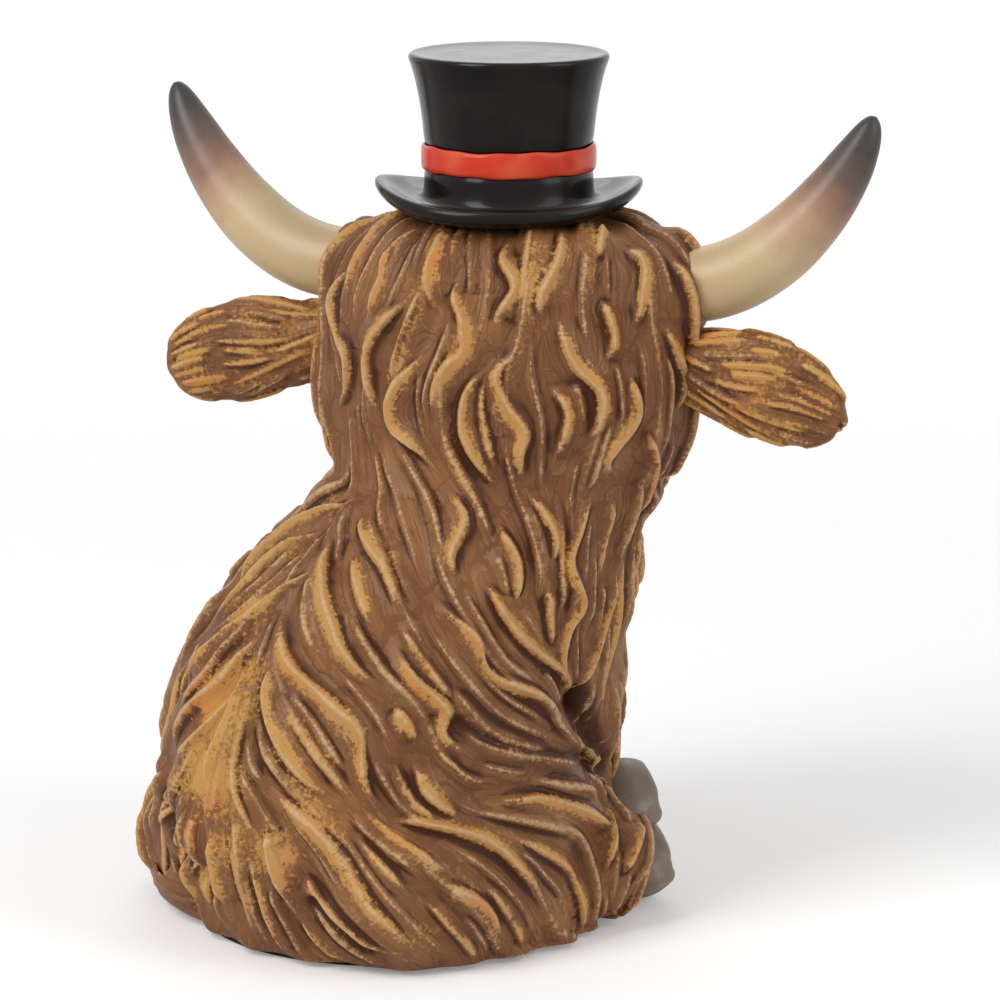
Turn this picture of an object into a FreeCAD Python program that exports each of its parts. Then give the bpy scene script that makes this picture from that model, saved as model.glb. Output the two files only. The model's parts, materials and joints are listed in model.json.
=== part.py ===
# Cast resin ornament: a long-haired cow sitting up in a top hat, made of castings glued together over hidden pegs.
# Millimetres, +Z up, origin on the table under the middle of the base. The face looks along -Y, so the cow's right
# side is towards -X. The body sits turned a little to the cow's right of the way that the face looks.
import FreeCAD, Part
import math
import os
from FreeCAD import Rotation, Vector

UP = Vector(0, 0, 1)
FORWARD = Vector(0, -1, 0)
RIGHT = Vector(-1, 0, 0)
RING_POINTS = 12
SIDES = (("left", -1), ("right", 1))

# Fits and stock
glue_gap = 0.1
overrun = 2.0
felt_thickness = 1.0
felt_inset = 3.0

# Trunk: half its length and width are the largest at the base, and it narrows to the neck. Places on the body are
# given forward of the middle of the base, towards the cow's right of it, and up.
body_turn_deg = -23.0
body_half_length = 52.0
body_half_width = 44.0
body_wall = 6.0
pour_hole_radius = 11.0
neck_height = 88.0
neck_forward = 14.3
neck_right = 14.3
neck_half_depth = 29.5
neck_half_width = 31.5
collar_radius = 15.0
collar_height = 8.0

# Rows of the trunk below the neck. Shares of the neck's height, of the way from the base's middle to the neck's, of
# the half length in front and behind, and of the half width.
trunk_row_shares = (
    (0.00, 0.10, 0.58, 0.85, 0.96),
    (0.10, 0.08, 0.62, 0.91, 0.99),
    (0.24, 0.02, 0.69, 0.96, 1.00),
    (0.40, 0.00, 0.77, 0.96, 0.98),
    (0.55, 0.07, 0.81, 0.91, 0.95),
    (0.68, 0.22, 0.79, 0.85, 0.91),
    (0.80, 0.43, 0.73, 0.77, 0.85),
    (0.91, 0.74, 0.62, 0.65, 0.78),
)

# Locks of hair: waves round the trunk, the haunches and the head, two points of each ring to a lock. They stand close
# behind the neck, fan out downwards and sway on their way, and die out at the face and at the neck's joint.
lock_count = 20
haunch_lock_count = 12
lock_fan_deg = 26.0
lock_sway_deg = 5.0
lock_sways = 3.2
body_lock_relief = 0.9
haunch_lock_relief = 0.7
head_lock_relief = 0.7
trunk_rings = 14
haunch_rings = 8
head_rings = 9

# Haunches: a swelling on each side of the trunk
haunch_half_length = 31.0
haunch_half_width = 19.0
haunch_half_height = 25.0
haunch_forward = -10.0
haunch_side = 25.5
haunch_level = 16.0

# Hind feet: a furry cuff on each side, lying outwards and tipped up a little, with its hoof at the end
hind_cuff_radius = 12.5
hind_cuff_length = 26.0
hind_hoof_forward = 27.5
hind_hoof_side = 30.0
hind_hoof_level = 14.0
hind_hoof_turn_deg = 35.0
hind_hoof_tip_deg = 12.0
hind_hoof_length = 12.0
hind_hoof_reach = 9.0
hind_hoof_half_width = 12.4

# Forelegs: two shaggy columns before the chest, each on its hoof
foreleg_forward = 35.0
foreleg_side = 11.5
foreleg_top_drop = 22.0
foreleg_top_forward = 23.0
foreleg_top_radius = 14.0
foreleg_ankle_radius = 11.0
fore_hoof_height = 10.0
fore_hoof_reach = 12.5
fore_hoof_half_width = 9.5

# Hooves: shares of the length from the leg down, of the reach in front and behind, and of the half width
hoof_row_shares = (
    (0.00, 0.78, 0.78, 0.86),
    (0.35, 0.92, 0.84, 0.96),
    (0.75, 1.00, 0.86, 1.00),
    (1.00, 0.92, 0.80, 0.92),
)
hoof_cleft = 1.2
hoof_cleft_start_shares = (1 / 3, 1 / 4)
hoof_peg_radius = 3.0
hoof_peg_length = 5.0
hoof_peg_seat = 2.5

# Tail: its tuft lies on the table from the middle of the back round the left haunch
tail_path_radius = 37.5
tail_path_left = 11.5
tail_half_thickness = 6.5
tail_half_height = 8.5
tail_middle_level = 8.0
tail_from_deg = 5.0
tail_to_deg = 92.0
tail_row_shares = ((0.0, 0.55), (0.15, 0.9), (0.4, 1.0), (0.7, 0.96), (0.9, 0.75), (1.0, 0.4))

# Head: seated on the collar, with its mane down to the neck. Places on the head are given forward of the neck's
# middle, towards the cow's right of it, and up from the neck. Rows: shares of the head's height, of its half depth and
# width, and of the half width again for the way that the row leans to the right.
head_height = 50.5
head_half_depth = 28.0
head_half_width = 38.5
head_roof = 16.5
head_row_shares = (
    (0.14, 1.05, 0.925, 0.00),
    (0.30, 1.03, 0.985, 0.01),
    (0.48, 1.00, 0.97, 0.025),
    (0.66, 0.97, 0.93, 0.04),
    (0.81, 0.90, 0.86, 0.05),
    (0.93, 0.80, 0.775, 0.055),
    (1.00, 0.66, 0.63, 0.055),
)

# Snout: shares of the seat's place forward, of its half width and of its half height, from the skull outwards
snout_proud = 4.0
muzzle_seat_rise = 14.5
muzzle_half_width = 15.5
muzzle_half_height = 13.0
brow_drop = 9.0
snout_row_shares = ((0.40, 1.25, 1.10), (0.75, 1.12, 1.06), (1.00, 1.00, 1.00))

# Muzzle: shares of its length, half width and half height
muzzle_length = 14.0
muzzle_row_shares = ((0.00, 1.00, 1.00), (0.40, 1.07, 1.03), (0.75, 0.98, 0.92), (1.00, 0.66, 0.60))
muzzle_peg_radius = 5.0
muzzle_peg_length = 6.0
muzzle_peg_seat = 3.0
nostril_radius = 2.0
nostril_depth = 3.0
nostril_side = 6.5
nostril_rise = 3.0

# Eyes
eye_radius = 3.2
eye_shank = 3.6
eye_side = 17.5
eye_rise = 25.0
eye_seat_depth = 6.5

# Forelock, from below the head's top to above the neck: shares of its length from the top, of its half width and of
# its thickness
forelock_top_drop = 2.5
forelock_top_depth = 9.0
forelock_foot_rise = 14.0
forelock_foot_proud = 2.0
forelock_half_width = 19.0
forelock_thickness = 5.0
forelock_row_shares = ((0.0, 0.8, 0.7), (0.25, 1.0, 1.0), (0.5, 0.82, 1.0), (0.75, 0.5, 0.9), (1.0, 0.2, 0.5))

# Ears: shares of the length from the root, of the half height and of the half thickness
ear_root_inset = 5.5
ear_root_rise = 24.5
ear_length = 38.0
ear_drop = 6.5
ear_back = 4.5
ear_half_height = 10.5
ear_half_thickness = 5.0
ear_row_shares = (
    (0.00, 0.60, 0.90),
    (0.25, 0.84, 1.00),
    (0.50, 1.00, 1.00),
    (0.75, 0.94, 0.80),
    (0.92, 0.62, 0.55),
    (1.00, 0.25, 0.30),
)
ear_tenon_radius = 4.0
ear_tenon_length = 6.0

# Horns: shares of the way along the bend and of the root's radius
horn_root_inset = 7.5
horn_root_rise = 38.8
horn_root_forward = 2.0
horn_root_radius = 7.2
horn_socket_gap = 0.3
horn_reach = 41.2
horn_rise = 33.6
horn_sweep = 3.0
horn_start_deg = -8.0
horn_end_deg = 80.0
horn_start_bend_share = 0.59
horn_end_bend_share = 0.2
horn_row_shares = (
    (0.00, 1.00),
    (0.20, 1.00),
    (0.40, 0.95),
    (0.58, 0.83),
    (0.74, 0.67),
    (0.88, 0.46),
    (1.00, 0.15),
)
horn_pin_radius = 1.0
horn_pin_length = 16.0

# Top hat: the brim curls up at the sides, the crown flares to a rounded lip, and the band lies in a groove
hat_turn_deg = 20.0
hat_right = 1.0
hat_height = 31.5
hat_waist_radius = 16.3
hat_top_radius = 19.3
hat_lip = 1.2
flare_row_shares = ((0.0, 0.0), (0.45, 0.28), (0.75, 0.58), (0.9, 0.82), (1.0, 1.0))
brim_half_width = 25.9
brim_half_depth = 24.0
brim_thickness = 2.6
brim_rise = 1.5
brim_curl = 3.9
brim_row_shares = ((0.0, 0.0), (0.5, 0.2), (0.82, 0.62), (0.96, 0.97))
band_level = 9.0
band_height = 5.2
band_depth = 0.8
band_proud = 0.5
hat_peg_radius = 4.0
hat_peg_length = 12.0


# Helpers: places, curves and simple solids

def place(forward, right, level, turn_deg):
    way = Rotation(UP, turn_deg)
    return way.multVec(FORWARD * forward + RIGHT * right) + UP * level


def body_place(forward, right, level):
    return place(forward, right, level, body_turn_deg)


def head_place(forward, right, rise):
    return body_place(neck_forward, neck_right, neck_height) + place(forward, right, rise, 0)


def oval(middle, ahead, behind, aside):
    # A closed smooth curve round the middle: ahead, behind and aside reach from it as vectors
    points = []
    for step in range(RING_POINTS):
        angle = 2 * math.pi * step / RING_POINTS
        lengthwise = ahead * math.cos(angle) if math.cos(angle) > 0 else behind * -math.cos(angle)
        points.append(middle + lengthwise + aside * math.sin(angle))
    curve = Part.BSplineCurve()
    curve.interpolate(points, PeriodicFlag=True)
    return Part.Wire(curve.toShape())


def hairy_ring(middle, turn_deg, reaches, height_share, locks, reliefs):
    # A level oval whose points stand by turns on a lock and in a furrow. Reaches: in front, behind and to each side.
    # Reliefs: how far the locks stand out of the smooth line and the furrows in, in front and behind.
    way = Rotation(UP, turn_deg)
    sway = math.radians(lock_sway_deg) * math.sin(2 * math.pi * lock_sways * height_share)
    points = []
    for step in range(2 * locks):
        angle = math.pi * step / locks
        angle += math.radians(lock_fan_deg) * height_share * math.sin(angle) + sway
        length = reaches[0] if math.cos(angle) > 0 else reaches[1]
        spot = way.multVec(FORWARD * (length * math.cos(angle)) + RIGHT * (reaches[2] * math.sin(angle)))
        frontness = (1 + math.cos(angle)) / 2
        relief = reliefs[0] * frontness + reliefs[1] * (1 - frontness)
        points.append(middle + spot * (1 + relief * (-1) ** step / spot.Length))
    curve = Part.BSplineCurve()
    curve.interpolate(Points=points, PeriodicFlag=True, Parameters=list(range(len(points) + 1)))
    return Part.Wire(curve.toShape())


def between(rows, share):
    # The row of shares at a height share, from the two rows of the table that it lies between
    for low, high in zip(rows, rows[1:]):
        if share <= high[0]:
            part = (share - low[0]) / (high[0] - low[0])
            return [a + (b - a) * part for a, b in zip(low, high)]
    return rows[-1]


def fade(share, rings):
    # 0 at the joint of the neck, 1 from the second ring on
    return min(1, share * rings / 2)


def level_oval(middle, turn_deg, front, back, half_width):
    way = Rotation(UP, turn_deg)
    return oval(middle, way.multVec(FORWARD * front), way.multVec(FORWARD * -back), way.multVec(RIGHT * half_width))


def loft(wires):
    return Part.makeLoft(wires, True, False)


def peg(start, direction, radius, length):
    return Part.makeCylinder(radius, length, start, direction)


def turned(points, middle):
    # A solid of revolution about the upright line through the middle, from (radius, level) points of one outline
    outline = [middle + RIGHT * radius + UP * level for radius, level in points]
    face = Part.Face(Part.makePolygon(outline + outline[:1]))
    return face.revolve(middle, UP, 360)


def slab(low, high):
    # Everything in the body's reach between two levels
    reach = 2 * (body_half_length + body_half_width)
    return Part.makeBox(2 * reach, 2 * reach, high - low, Vector(-reach, -reach, low))


def largest(shape):
    return max(shape.Solids, key=lambda solid: solid.Volume)


# Body

def trunk(inset):
    # The skin, with its locks, or a smooth solid that lies an inset inside it
    neck_shares = (neck_half_depth / body_half_length, neck_half_depth / body_half_length)
    rows = trunk_row_shares + ((1, 1) + neck_shares + (neck_half_width / body_half_width,),)
    rings = []
    for ring in range(trunk_rings):
        height_share, way_share, front_share, back_share, width_share = between(rows, ring / (trunk_rings - 1))
        level = felt_thickness + (neck_height - felt_thickness) * height_share
        middle = body_place(neck_forward * way_share, neck_right * way_share, level)
        lengths = (body_half_length * front_share - inset, body_half_length * back_share - inset)
        reaches = lengths + (body_half_width * width_share - inset,)
        relief = body_lock_relief * fade(1 - height_share, trunk_rings) if inset == 0 else 0
        turn_deg = body_turn_deg * (1 - way_share)
        rings.append(hairy_ring(middle, turn_deg, reaches, height_share, lock_count, (relief, relief)))
    return loft(rings)


def haunch(side):
    rings = []
    for ring in range(1, haunch_rings):
        rise = -math.cos(math.pi * ring / haunch_rings)
        size = math.sqrt(1 - rise ** 2)
        middle = body_place(haunch_forward, side * haunch_side, haunch_level + haunch_half_height * rise)
        reaches = (haunch_half_length * size, haunch_half_length * size, haunch_half_width * size)
        relief = haunch_lock_relief * size
        rings.append(hairy_ring(middle, body_turn_deg, reaches, rise / 2, haunch_lock_count, (relief, relief)))
    return loft(rings)


def hind_axis(side):
    tip = math.radians(hind_hoof_tip_deg)
    way = Rotation(UP, body_turn_deg - side * hind_hoof_turn_deg)
    return way.multVec(FORWARD * math.cos(tip) + UP * math.sin(tip))


def hind_hoof_root(side):
    return body_place(hind_hoof_forward, side * hind_hoof_side, hind_hoof_level)


def hind_cuff(side):
    start = hind_hoof_root(side) - hind_axis(side) * hind_cuff_length
    return peg(start, hind_axis(side), hind_cuff_radius, hind_cuff_length)


def fore_hoof_root(side):
    return body_place(foreleg_forward, side * foreleg_side, felt_thickness + fore_hoof_height)


def foreleg(side):
    # A column that leans back into the chest, cut level at the ankle
    foot = fore_hoof_root(side)
    rise = body_place(foreleg_top_forward, side * foreleg_side, neck_height - foreleg_top_drop) - foot
    below = rise * (foreleg_ankle_radius / rise.Length)
    column = Part.makeCone(foreleg_ankle_radius, foreleg_top_radius, (rise + below).Length, foot - below, rise)
    return column.cut(slab(foot.z - 2 * foreleg_ankle_radius, foot.z))


def body_skin():
    limbs = []
    for _, side in SIDES:
        limbs += [haunch(side), hind_cuff(side), foreleg(side)]
    skin = trunk(0).fuse(limbs)
    return largest(skin.cut(slab(felt_thickness - haunch_half_height, felt_thickness)))


def body_cavity():
    return trunk(body_wall).common(slab(felt_thickness + body_wall, neck_height - body_wall))


def body_shell(skin):
    shell = skin.cut(body_cavity())
    shell = shell.cut(peg(UP * felt_thickness, UP, pour_hole_radius, body_wall + overrun))
    collar = peg(head_place(0, 0, -body_wall), UP, collar_radius, body_wall + collar_height)
    shell = shell.fuse(collar)
    for _, side in SIDES:
        shell = shell.cut(hoof_peg(fore_hoof_root(side), -UP, glue_gap))
        shell = shell.cut(hoof_peg(hind_hoof_root(side), hind_axis(side), glue_gap))
    return shell


def base_plug():
    return peg(UP * felt_thickness, UP, pour_hole_radius - glue_gap, body_wall)


def felt_base():
    front = foreleg_forward + foreleg_ankle_radius - felt_inset
    back = body_half_length * trunk_row_shares[0][3] - felt_inset
    half_width = body_half_width * trunk_row_shares[0][4] - felt_inset
    outline = level_oval(Vector(), body_turn_deg, front, back, half_width)
    return Part.Face(outline).extrude(UP * felt_thickness)


# Hooves and tail

def hoof_peg(root, down, gap):
    # The peg starts inside the hoof and ends inside the leg. With a gap it is the pocket for it.
    return peg(root + down * hoof_peg_seat, -down, hoof_peg_radius + gap, hoof_peg_seat + hoof_peg_length + gap)


def hoof(root, down, ahead, length, reach, half_width):
    aside = down.cross(ahead)
    rings = []
    for way_share, front_share, back_share, width_share in hoof_row_shares:
        front = ahead * (reach * front_share)
        back = ahead * (-reach * back_share)
        rings.append(oval(root + down * (length * way_share), front, back, aside * (half_width * width_share)))
    ahead_share, down_share = hoof_cleft_start_shares
    corner = root - aside * (hoof_cleft / 2) + ahead * (reach * ahead_share) + down * (length * down_share)
    edges = [corner, corner + ahead * reach, corner + (ahead * reach + down * length), corner + down * length]
    cleft = Part.Face(Part.makePolygon(edges + edges[:1])).extrude(aside * hoof_cleft)
    return largest(loft(rings).cut(cleft).cut(trunk(0))).fuse(hoof_peg(root, down, 0))


def fore_hoof(side):
    ahead = place(1, 0, 0, body_turn_deg)
    shape = hoof(fore_hoof_root(side), -UP, ahead, fore_hoof_height, fore_hoof_reach, fore_hoof_half_width)
    return shape.cut(hind_cuff(side))


def hind_hoof(side):
    down = hind_axis(side)
    ahead = place(0, side, 0, body_turn_deg - side * hind_hoof_turn_deg)
    return hoof(hind_hoof_root(side), down, ahead, hind_hoof_length, hind_hoof_reach, hind_hoof_half_width)


def tail(skin):
    rings = []
    for way_share, size_share in tail_row_shares:
        angle = tail_from_deg + (tail_to_deg - tail_from_deg) * way_share
        out = place(-1, 0, 0, body_turn_deg - angle)
        middle = body_place(0, -tail_path_left, tail_middle_level * size_share + felt_thickness)
        middle += out * tail_path_radius
        thick = out * (tail_half_thickness * size_share)
        rings.append(oval(middle, thick, -thick, UP * (tail_half_height * size_share)))
    tuft = loft(rings).cut(slab(felt_thickness - tail_half_height, felt_thickness))
    return largest(tuft.cut(skin))


# Head

def head_skin():
    neck_row = (0, neck_half_depth / head_half_depth, neck_half_width / head_half_width, 0)
    rows = (neck_row,) + head_row_shares
    rings = []
    for ring in range(head_rings):
        height_share, depth_share, width_share, lean_share = between(rows, ring / (head_rings - 1))
        middle = head_place(0, head_half_width * lean_share, head_height * height_share)
        reaches = (head_half_depth * depth_share, head_half_depth * depth_share, head_half_width * width_share)
        reliefs = (0, head_lock_relief * fade(height_share, head_rings))
        rings.append(hairy_ring(middle, 0, reaches, height_share, lock_count, reliefs))
    return loft(rings).fuse(snout()).removeSplitter()


def muzzle_seat(forward):
    return head_place(head_half_depth + snout_proud + forward, 0, muzzle_seat_rise)


def snout():
    rings = []
    for forward_share, width_share, height_share in snout_row_shares:
        rise = muzzle_seat_rise + brow_drop * (1 - forward_share)
        middle = head_place((head_half_depth + snout_proud) * forward_share, 0, rise)
        high = UP * (muzzle_half_height * height_share)
        rings.append(oval(middle, high, -high, RIGHT * (muzzle_half_width * width_share)))
    return loft(rings).common(slab(neck_height, neck_height + head_height))


def muzzle_peg(gap):
    length = muzzle_peg_seat + muzzle_peg_length + gap
    return peg(muzzle_seat(muzzle_peg_seat), -FORWARD, muzzle_peg_radius + gap, length)


def muzzle():
    rings = []
    for way_share, width_share, height_share in muzzle_row_shares:
        high = UP * (muzzle_half_height * height_share)
        aside = RIGHT * (muzzle_half_width * width_share)
        rings.append(oval(muzzle_seat(muzzle_length * way_share), high, -high, aside))
    nose = loft(rings)
    for _, side in SIDES:
        mouth = muzzle_seat(muzzle_length + overrun) + RIGHT * (side * nostril_side) + UP * nostril_rise
        nose = nose.cut(peg(mouth, -FORWARD, nostril_radius, nostril_depth + overrun))
    return nose.fuse(muzzle_peg(0)).removeSplitter()


def eye_seat(side):
    return head_place(head_half_depth - eye_seat_depth, side * eye_side, eye_rise)


def eye(side):
    shank = peg(eye_seat(side), FORWARD, eye_radius, eye_shank)
    return shank.fuse(Part.makeSphere(eye_radius, eye_seat(side) + FORWARD * eye_shank)).removeSplitter()


def forelock(head):
    rings = []
    top = head_place(head_half_depth - forelock_top_depth, 0, head_height - forelock_top_drop)
    foot = head_place(head_half_depth + forelock_foot_proud, 0, forelock_foot_rise)
    for way_share, width_share, thickness_share in forelock_row_shares:
        thickness = forelock_thickness * thickness_share
        middle = top + (foot - top) * way_share
        rings.append(level_oval(middle, 0, thickness, thickness, forelock_half_width * width_share))
    return largest(loft(rings).cut(head))


def head_bore():
    height = head_height - head_roof - collar_radius
    bore = peg(head_place(0, 0, 0), UP, collar_radius + glue_gap, height)
    return bore.fuse(Part.makeSphere(collar_radius + glue_gap, head_place(0, 0, height)))


def head_shell(skin):
    shell = skin.cut(head_bore()).cut(muzzle_peg(glue_gap)).cut(hat_peg(glue_gap))
    for _, side in SIDES:
        shell = shell.cut(peg(eye_seat(side), FORWARD, eye_radius + glue_gap, eye_shank + 2 * eye_radius))
        shell = shell.cut(ear_tenon(side, glue_gap))
        shell = shell.cut(horn_socket(side)).cut(horn_pin(side, glue_gap))
    return shell


# Ears and horns

def ear_tenon(side, gap):
    start = head_place(0, side * (head_half_width + overrun), ear_root_rise)
    return peg(start, RIGHT * -side, ear_tenon_radius + gap, ear_tenon_length + overrun + gap)


def ear(side, head):
    rings = []
    for way_share, height_share, thickness_share in ear_row_shares:
        out = side * (head_half_width - ear_root_inset + ear_length * way_share)
        middle = head_place(-ear_back * way_share, out, ear_root_rise - ear_drop * way_share)
        high = UP * (ear_half_height * height_share)
        rings.append(oval(middle, high, -high, FORWARD * (ear_half_thickness * thickness_share)))
    return largest(loft(rings).cut(head)).fuse(ear_tenon(side, 0)).removeSplitter()


def horn_direction(side, rise_deg):
    rise = math.radians(rise_deg)
    return RIGHT * (side * math.cos(rise)) + UP * math.sin(rise)


def horn_root(side):
    return head_place(horn_root_forward, side * (head_half_width - horn_root_inset), horn_root_rise)


def horn_bend(side):
    root = horn_root(side)
    tip = root + RIGHT * (side * horn_reach) + UP * horn_rise + FORWARD * horn_sweep
    leaving = root + horn_direction(side, horn_start_deg) * (horn_reach * horn_start_bend_share)
    arriving = tip - horn_direction(side, horn_end_deg) * (horn_rise * horn_end_bend_share)
    bend = Part.BezierCurve()
    bend.setPoles([root, leaving, arriving, tip])
    return bend


def horn(side):
    bend = horn_bend(side)
    rings = []
    for way_share, radius_share in horn_row_shares:
        along = bend.tangent(way_share)[0]
        across = FORWARD.cross(along).normalize()
        front = along.cross(across) * (horn_root_radius * radius_share)
        rings.append(oval(bend.value(way_share), front, -front, across * (horn_root_radius * radius_share)))
    return loft(rings).cut(horn_pin(side, glue_gap))


def horn_socket(side):
    depth = horn_root_inset + overrun
    return peg(horn_root(side), horn_direction(side, horn_start_deg), horn_root_radius + horn_socket_gap, depth)


def horn_pin(side, gap):
    along = horn_direction(side, horn_start_deg)
    start = horn_root(side) - along * (horn_pin_length / 2 + gap)
    return peg(start, along, horn_pin_radius + gap, horn_pin_length + 2 * gap)


# Top hat

def hat_place(rise):
    return head_place(0, hat_right, head_height + rise)


def crown():
    flare_height = hat_height - hat_lip - band_level - band_height
    outline = [(0, 0), (hat_waist_radius, 0), (hat_waist_radius, band_level + band_height)]
    for height_share, radius_share in flare_row_shares[1:]:
        radius = hat_waist_radius + (hat_top_radius - hat_waist_radius) * radius_share
        outline.append((radius, band_level + band_height + flare_height * height_share))
    outline += [(hat_top_radius, hat_height - hat_lip / 2), (hat_top_radius - hat_lip, hat_height), (0, hat_height)]
    return turned(outline, hat_place(0))


def brim_section(angle):
    out = place(math.cos(angle), math.sin(angle), 0, hat_turn_deg)
    edge = math.hypot(brim_half_depth * math.cos(angle), brim_half_width * math.sin(angle))
    inner = hat_waist_radius - overrun
    rise = brim_rise + brim_curl * math.sin(angle) ** 4
    under = []
    top = []
    for way_share, rise_share in brim_row_shares:
        point = hat_place(rise * rise_share) + out * (inner + (edge - inner) * way_share)
        under.append(point)
        top.append(point + UP * brim_thickness)
    rim = hat_place(rise + brim_thickness / 2) + out * edge
    curve = Part.BSplineCurve()
    curve.interpolate(under + [rim] + top[::-1])
    return Part.Wire([curve.toShape(), Part.LineSegment(top[0], under[0]).toShape()])


def brim():
    sections = 2 * RING_POINTS
    wires = [brim_section(2 * math.pi * step / sections) for step in range(sections)]
    return Part.makeLoft(wires, True, False, True)


def band_ring(radius):
    low = band_level
    high = band_level + band_height
    inner = hat_waist_radius - band_depth
    return turned([(inner, low), (radius, low), (radius, high), (inner, high)], hat_place(0))


def top_hat():
    groove = band_ring(hat_waist_radius + overrun)
    return crown().fuse(brim()).cut(groove).cut(hat_peg(glue_gap)).removeSplitter()


def hat_band():
    return band_ring(hat_waist_radius + band_proud)


def hat_peg(gap):
    return peg(hat_place(-hat_peg_length / 2 - gap), UP, hat_peg_radius + gap, hat_peg_length + 2 * gap)


# The assembly

def pieces():
    skin = body_skin()
    head = head_skin()
    nodes = {
        "body_shell": body_shell(skin),
        "base_plug": base_plug(),
        "felt_base": felt_base(),
        "tail": tail(skin),
        "head_shell": head_shell(head),
        "muzzle": muzzle(),
        "forelock": forelock(head),
        "top_hat": top_hat(),
        "hat_band": hat_band(),
        "hat_peg": hat_peg(0),
    }
    for name, side in SIDES:
        nodes[name + "_fore_hoof"] = fore_hoof(side)
        nodes[name + "_hind_hoof"] = hind_hoof(side)
        nodes[name + "_eye"] = eye(side)
        nodes[name + "_ear"] = ear(side, head)
        nodes[name + "_horn"] = horn(side)
        nodes[name + "_horn_pin"] = horn_pin(side, 0)
    return nodes


os.makedirs("parts", exist_ok=True)
for node, shape in pieces().items():
    solid = largest(shape)
    solid.exportStep("parts/" + node + ".step")
    print(node, len(shape.Solids), round(solid.Volume), solid.isValid())
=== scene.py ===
import json
import math
import random

import bmesh
import bpy
import numpy as np
from mathutils import Matrix, Vector, kdtree
from mathutils.bvhtree import BVHTree

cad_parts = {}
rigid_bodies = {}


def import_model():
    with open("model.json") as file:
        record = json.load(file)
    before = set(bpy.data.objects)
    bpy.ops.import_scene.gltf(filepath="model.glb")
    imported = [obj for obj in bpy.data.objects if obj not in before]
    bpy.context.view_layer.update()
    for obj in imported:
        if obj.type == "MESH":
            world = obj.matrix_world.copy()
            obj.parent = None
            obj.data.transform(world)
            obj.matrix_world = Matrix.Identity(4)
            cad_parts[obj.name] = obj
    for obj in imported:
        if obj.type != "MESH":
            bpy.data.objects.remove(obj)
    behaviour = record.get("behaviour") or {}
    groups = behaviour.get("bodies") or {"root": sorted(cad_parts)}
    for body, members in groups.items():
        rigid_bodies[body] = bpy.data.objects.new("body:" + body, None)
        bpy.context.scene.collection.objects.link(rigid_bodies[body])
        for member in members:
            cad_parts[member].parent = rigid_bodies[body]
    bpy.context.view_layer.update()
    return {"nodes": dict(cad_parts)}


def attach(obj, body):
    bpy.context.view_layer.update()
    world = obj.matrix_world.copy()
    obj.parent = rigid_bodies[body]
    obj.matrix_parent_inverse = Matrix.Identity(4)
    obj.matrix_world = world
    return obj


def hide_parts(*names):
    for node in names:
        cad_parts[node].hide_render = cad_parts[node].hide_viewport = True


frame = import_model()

mm = 0.001
up = Vector((0, 0, 1))
rng = np.random.default_rng(11)
random.seed(5)
nodes = frame["nodes"]
sides = {"left": 1, "right": -1}  # the cow's own left is towards +X
headX, headY = -18.75, -7.58  # the middle of the head and neck in mm
hatX = -19.75


def linear(red, green, blue):
    # a colour as a paint program shows it, 0 to 255, in Blender's linear values
    parts = [c / 255 for c in (red, green, blue)]
    return tuple(p / 12.92 if p <= 0.04045 else ((p + 0.055) / 1.055) ** 2.4 for p in parts) + (1,)


def deselect():
    if bpy.context.object and bpy.context.object.mode != "OBJECT":
        bpy.ops.object.mode_set(mode="OBJECT")
    bpy.ops.object.select_all(action="DESELECT")


def hold(piece):
    deselect()
    piece.select_set(True)
    bpy.context.view_layer.objects.active = piece


def editMode(piece, pick="SELECT"):
    hold(piece)
    bpy.ops.object.mode_set(mode="EDIT")
    bpy.ops.mesh.select_all(action=pick)


def applyModifier(piece, kind, **settings):
    hold(piece)
    made = piece.modifiers.new(kind.title(), kind)
    for name, value in settings.items():
        setattr(made, name, value)
    bpy.ops.object.modifier_apply(modifier=made.name)


def settle(piece):
    # the place goes into the mesh and the object to the origin
    hold(piece)
    bpy.ops.object.transform_apply(location=True, rotation=True, scale=True)


def mergeDoubles(piece, gap=0.01, outwards=True):
    # points nearer than the gap in mm become one, and the faces are turned outwards
    editMode(piece)
    bpy.ops.mesh.remove_doubles(threshold=gap * mm)
    if outwards:
        bpy.ops.mesh.normals_make_consistent(inside=False)
    deselect()


def rounded(piece, levels=1):
    applyModifier(piece, "SUBSURF", levels=levels, render_levels=levels)


def smooth(piece, angle):
    hold(piece)
    bpy.ops.object.shade_smooth_by_angle(angle=math.radians(angle))


def joinPieces(first, *others):
    hold(first)
    for other in others:
        other.select_set(True)
    bpy.ops.object.join()
    return first


def handOver(piece, material, slot, *replaced):
    piece.data.materials.clear()
    piece.data.materials.append(material)
    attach(piece, "root")
    if replaced:
        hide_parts(*replaced)
    print("done:", piece.name, len(piece.data.polygons), "faces")


def growRings(name, centre, points, rows, closed=False):
    # rings round an upright line, each extruded from the last: the rows are radius and level in mm
    radius, level = rows[0]
    deselect()
    fill = "NOTHING" if closed else "TRIFAN"
    middle = (centre + up * level) * mm
    bpy.ops.mesh.primitive_circle_add(vertices=points, radius=radius * mm, fill_type=fill, location=middle)
    piece = bpy.context.object
    piece.name = piece.data.name = name
    editMode(piece)
    for newRadius, newLevel in rows[1:]:
        grow = bpy.ops.mesh.extrude_edges_move if closed else bpy.ops.mesh.extrude_region_move
        grow(TRANSFORM_OT_translate={"value": (0, 0, (newLevel - level) * mm)})
        factor = newRadius / radius
        bpy.ops.transform.resize(value=(factor, factor, 1), center_override=(centre + up * newLevel) * mm)
        radius, level = newRadius, newLevel
    settle(piece)
    mergeDoubles(piece)
    return piece


def shapePoints(piece, change):
    # moves every point by a rule in mm
    for vertex in piece.data.vertices:
        vertex.co = change(vertex.co / mm) * mm


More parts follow.
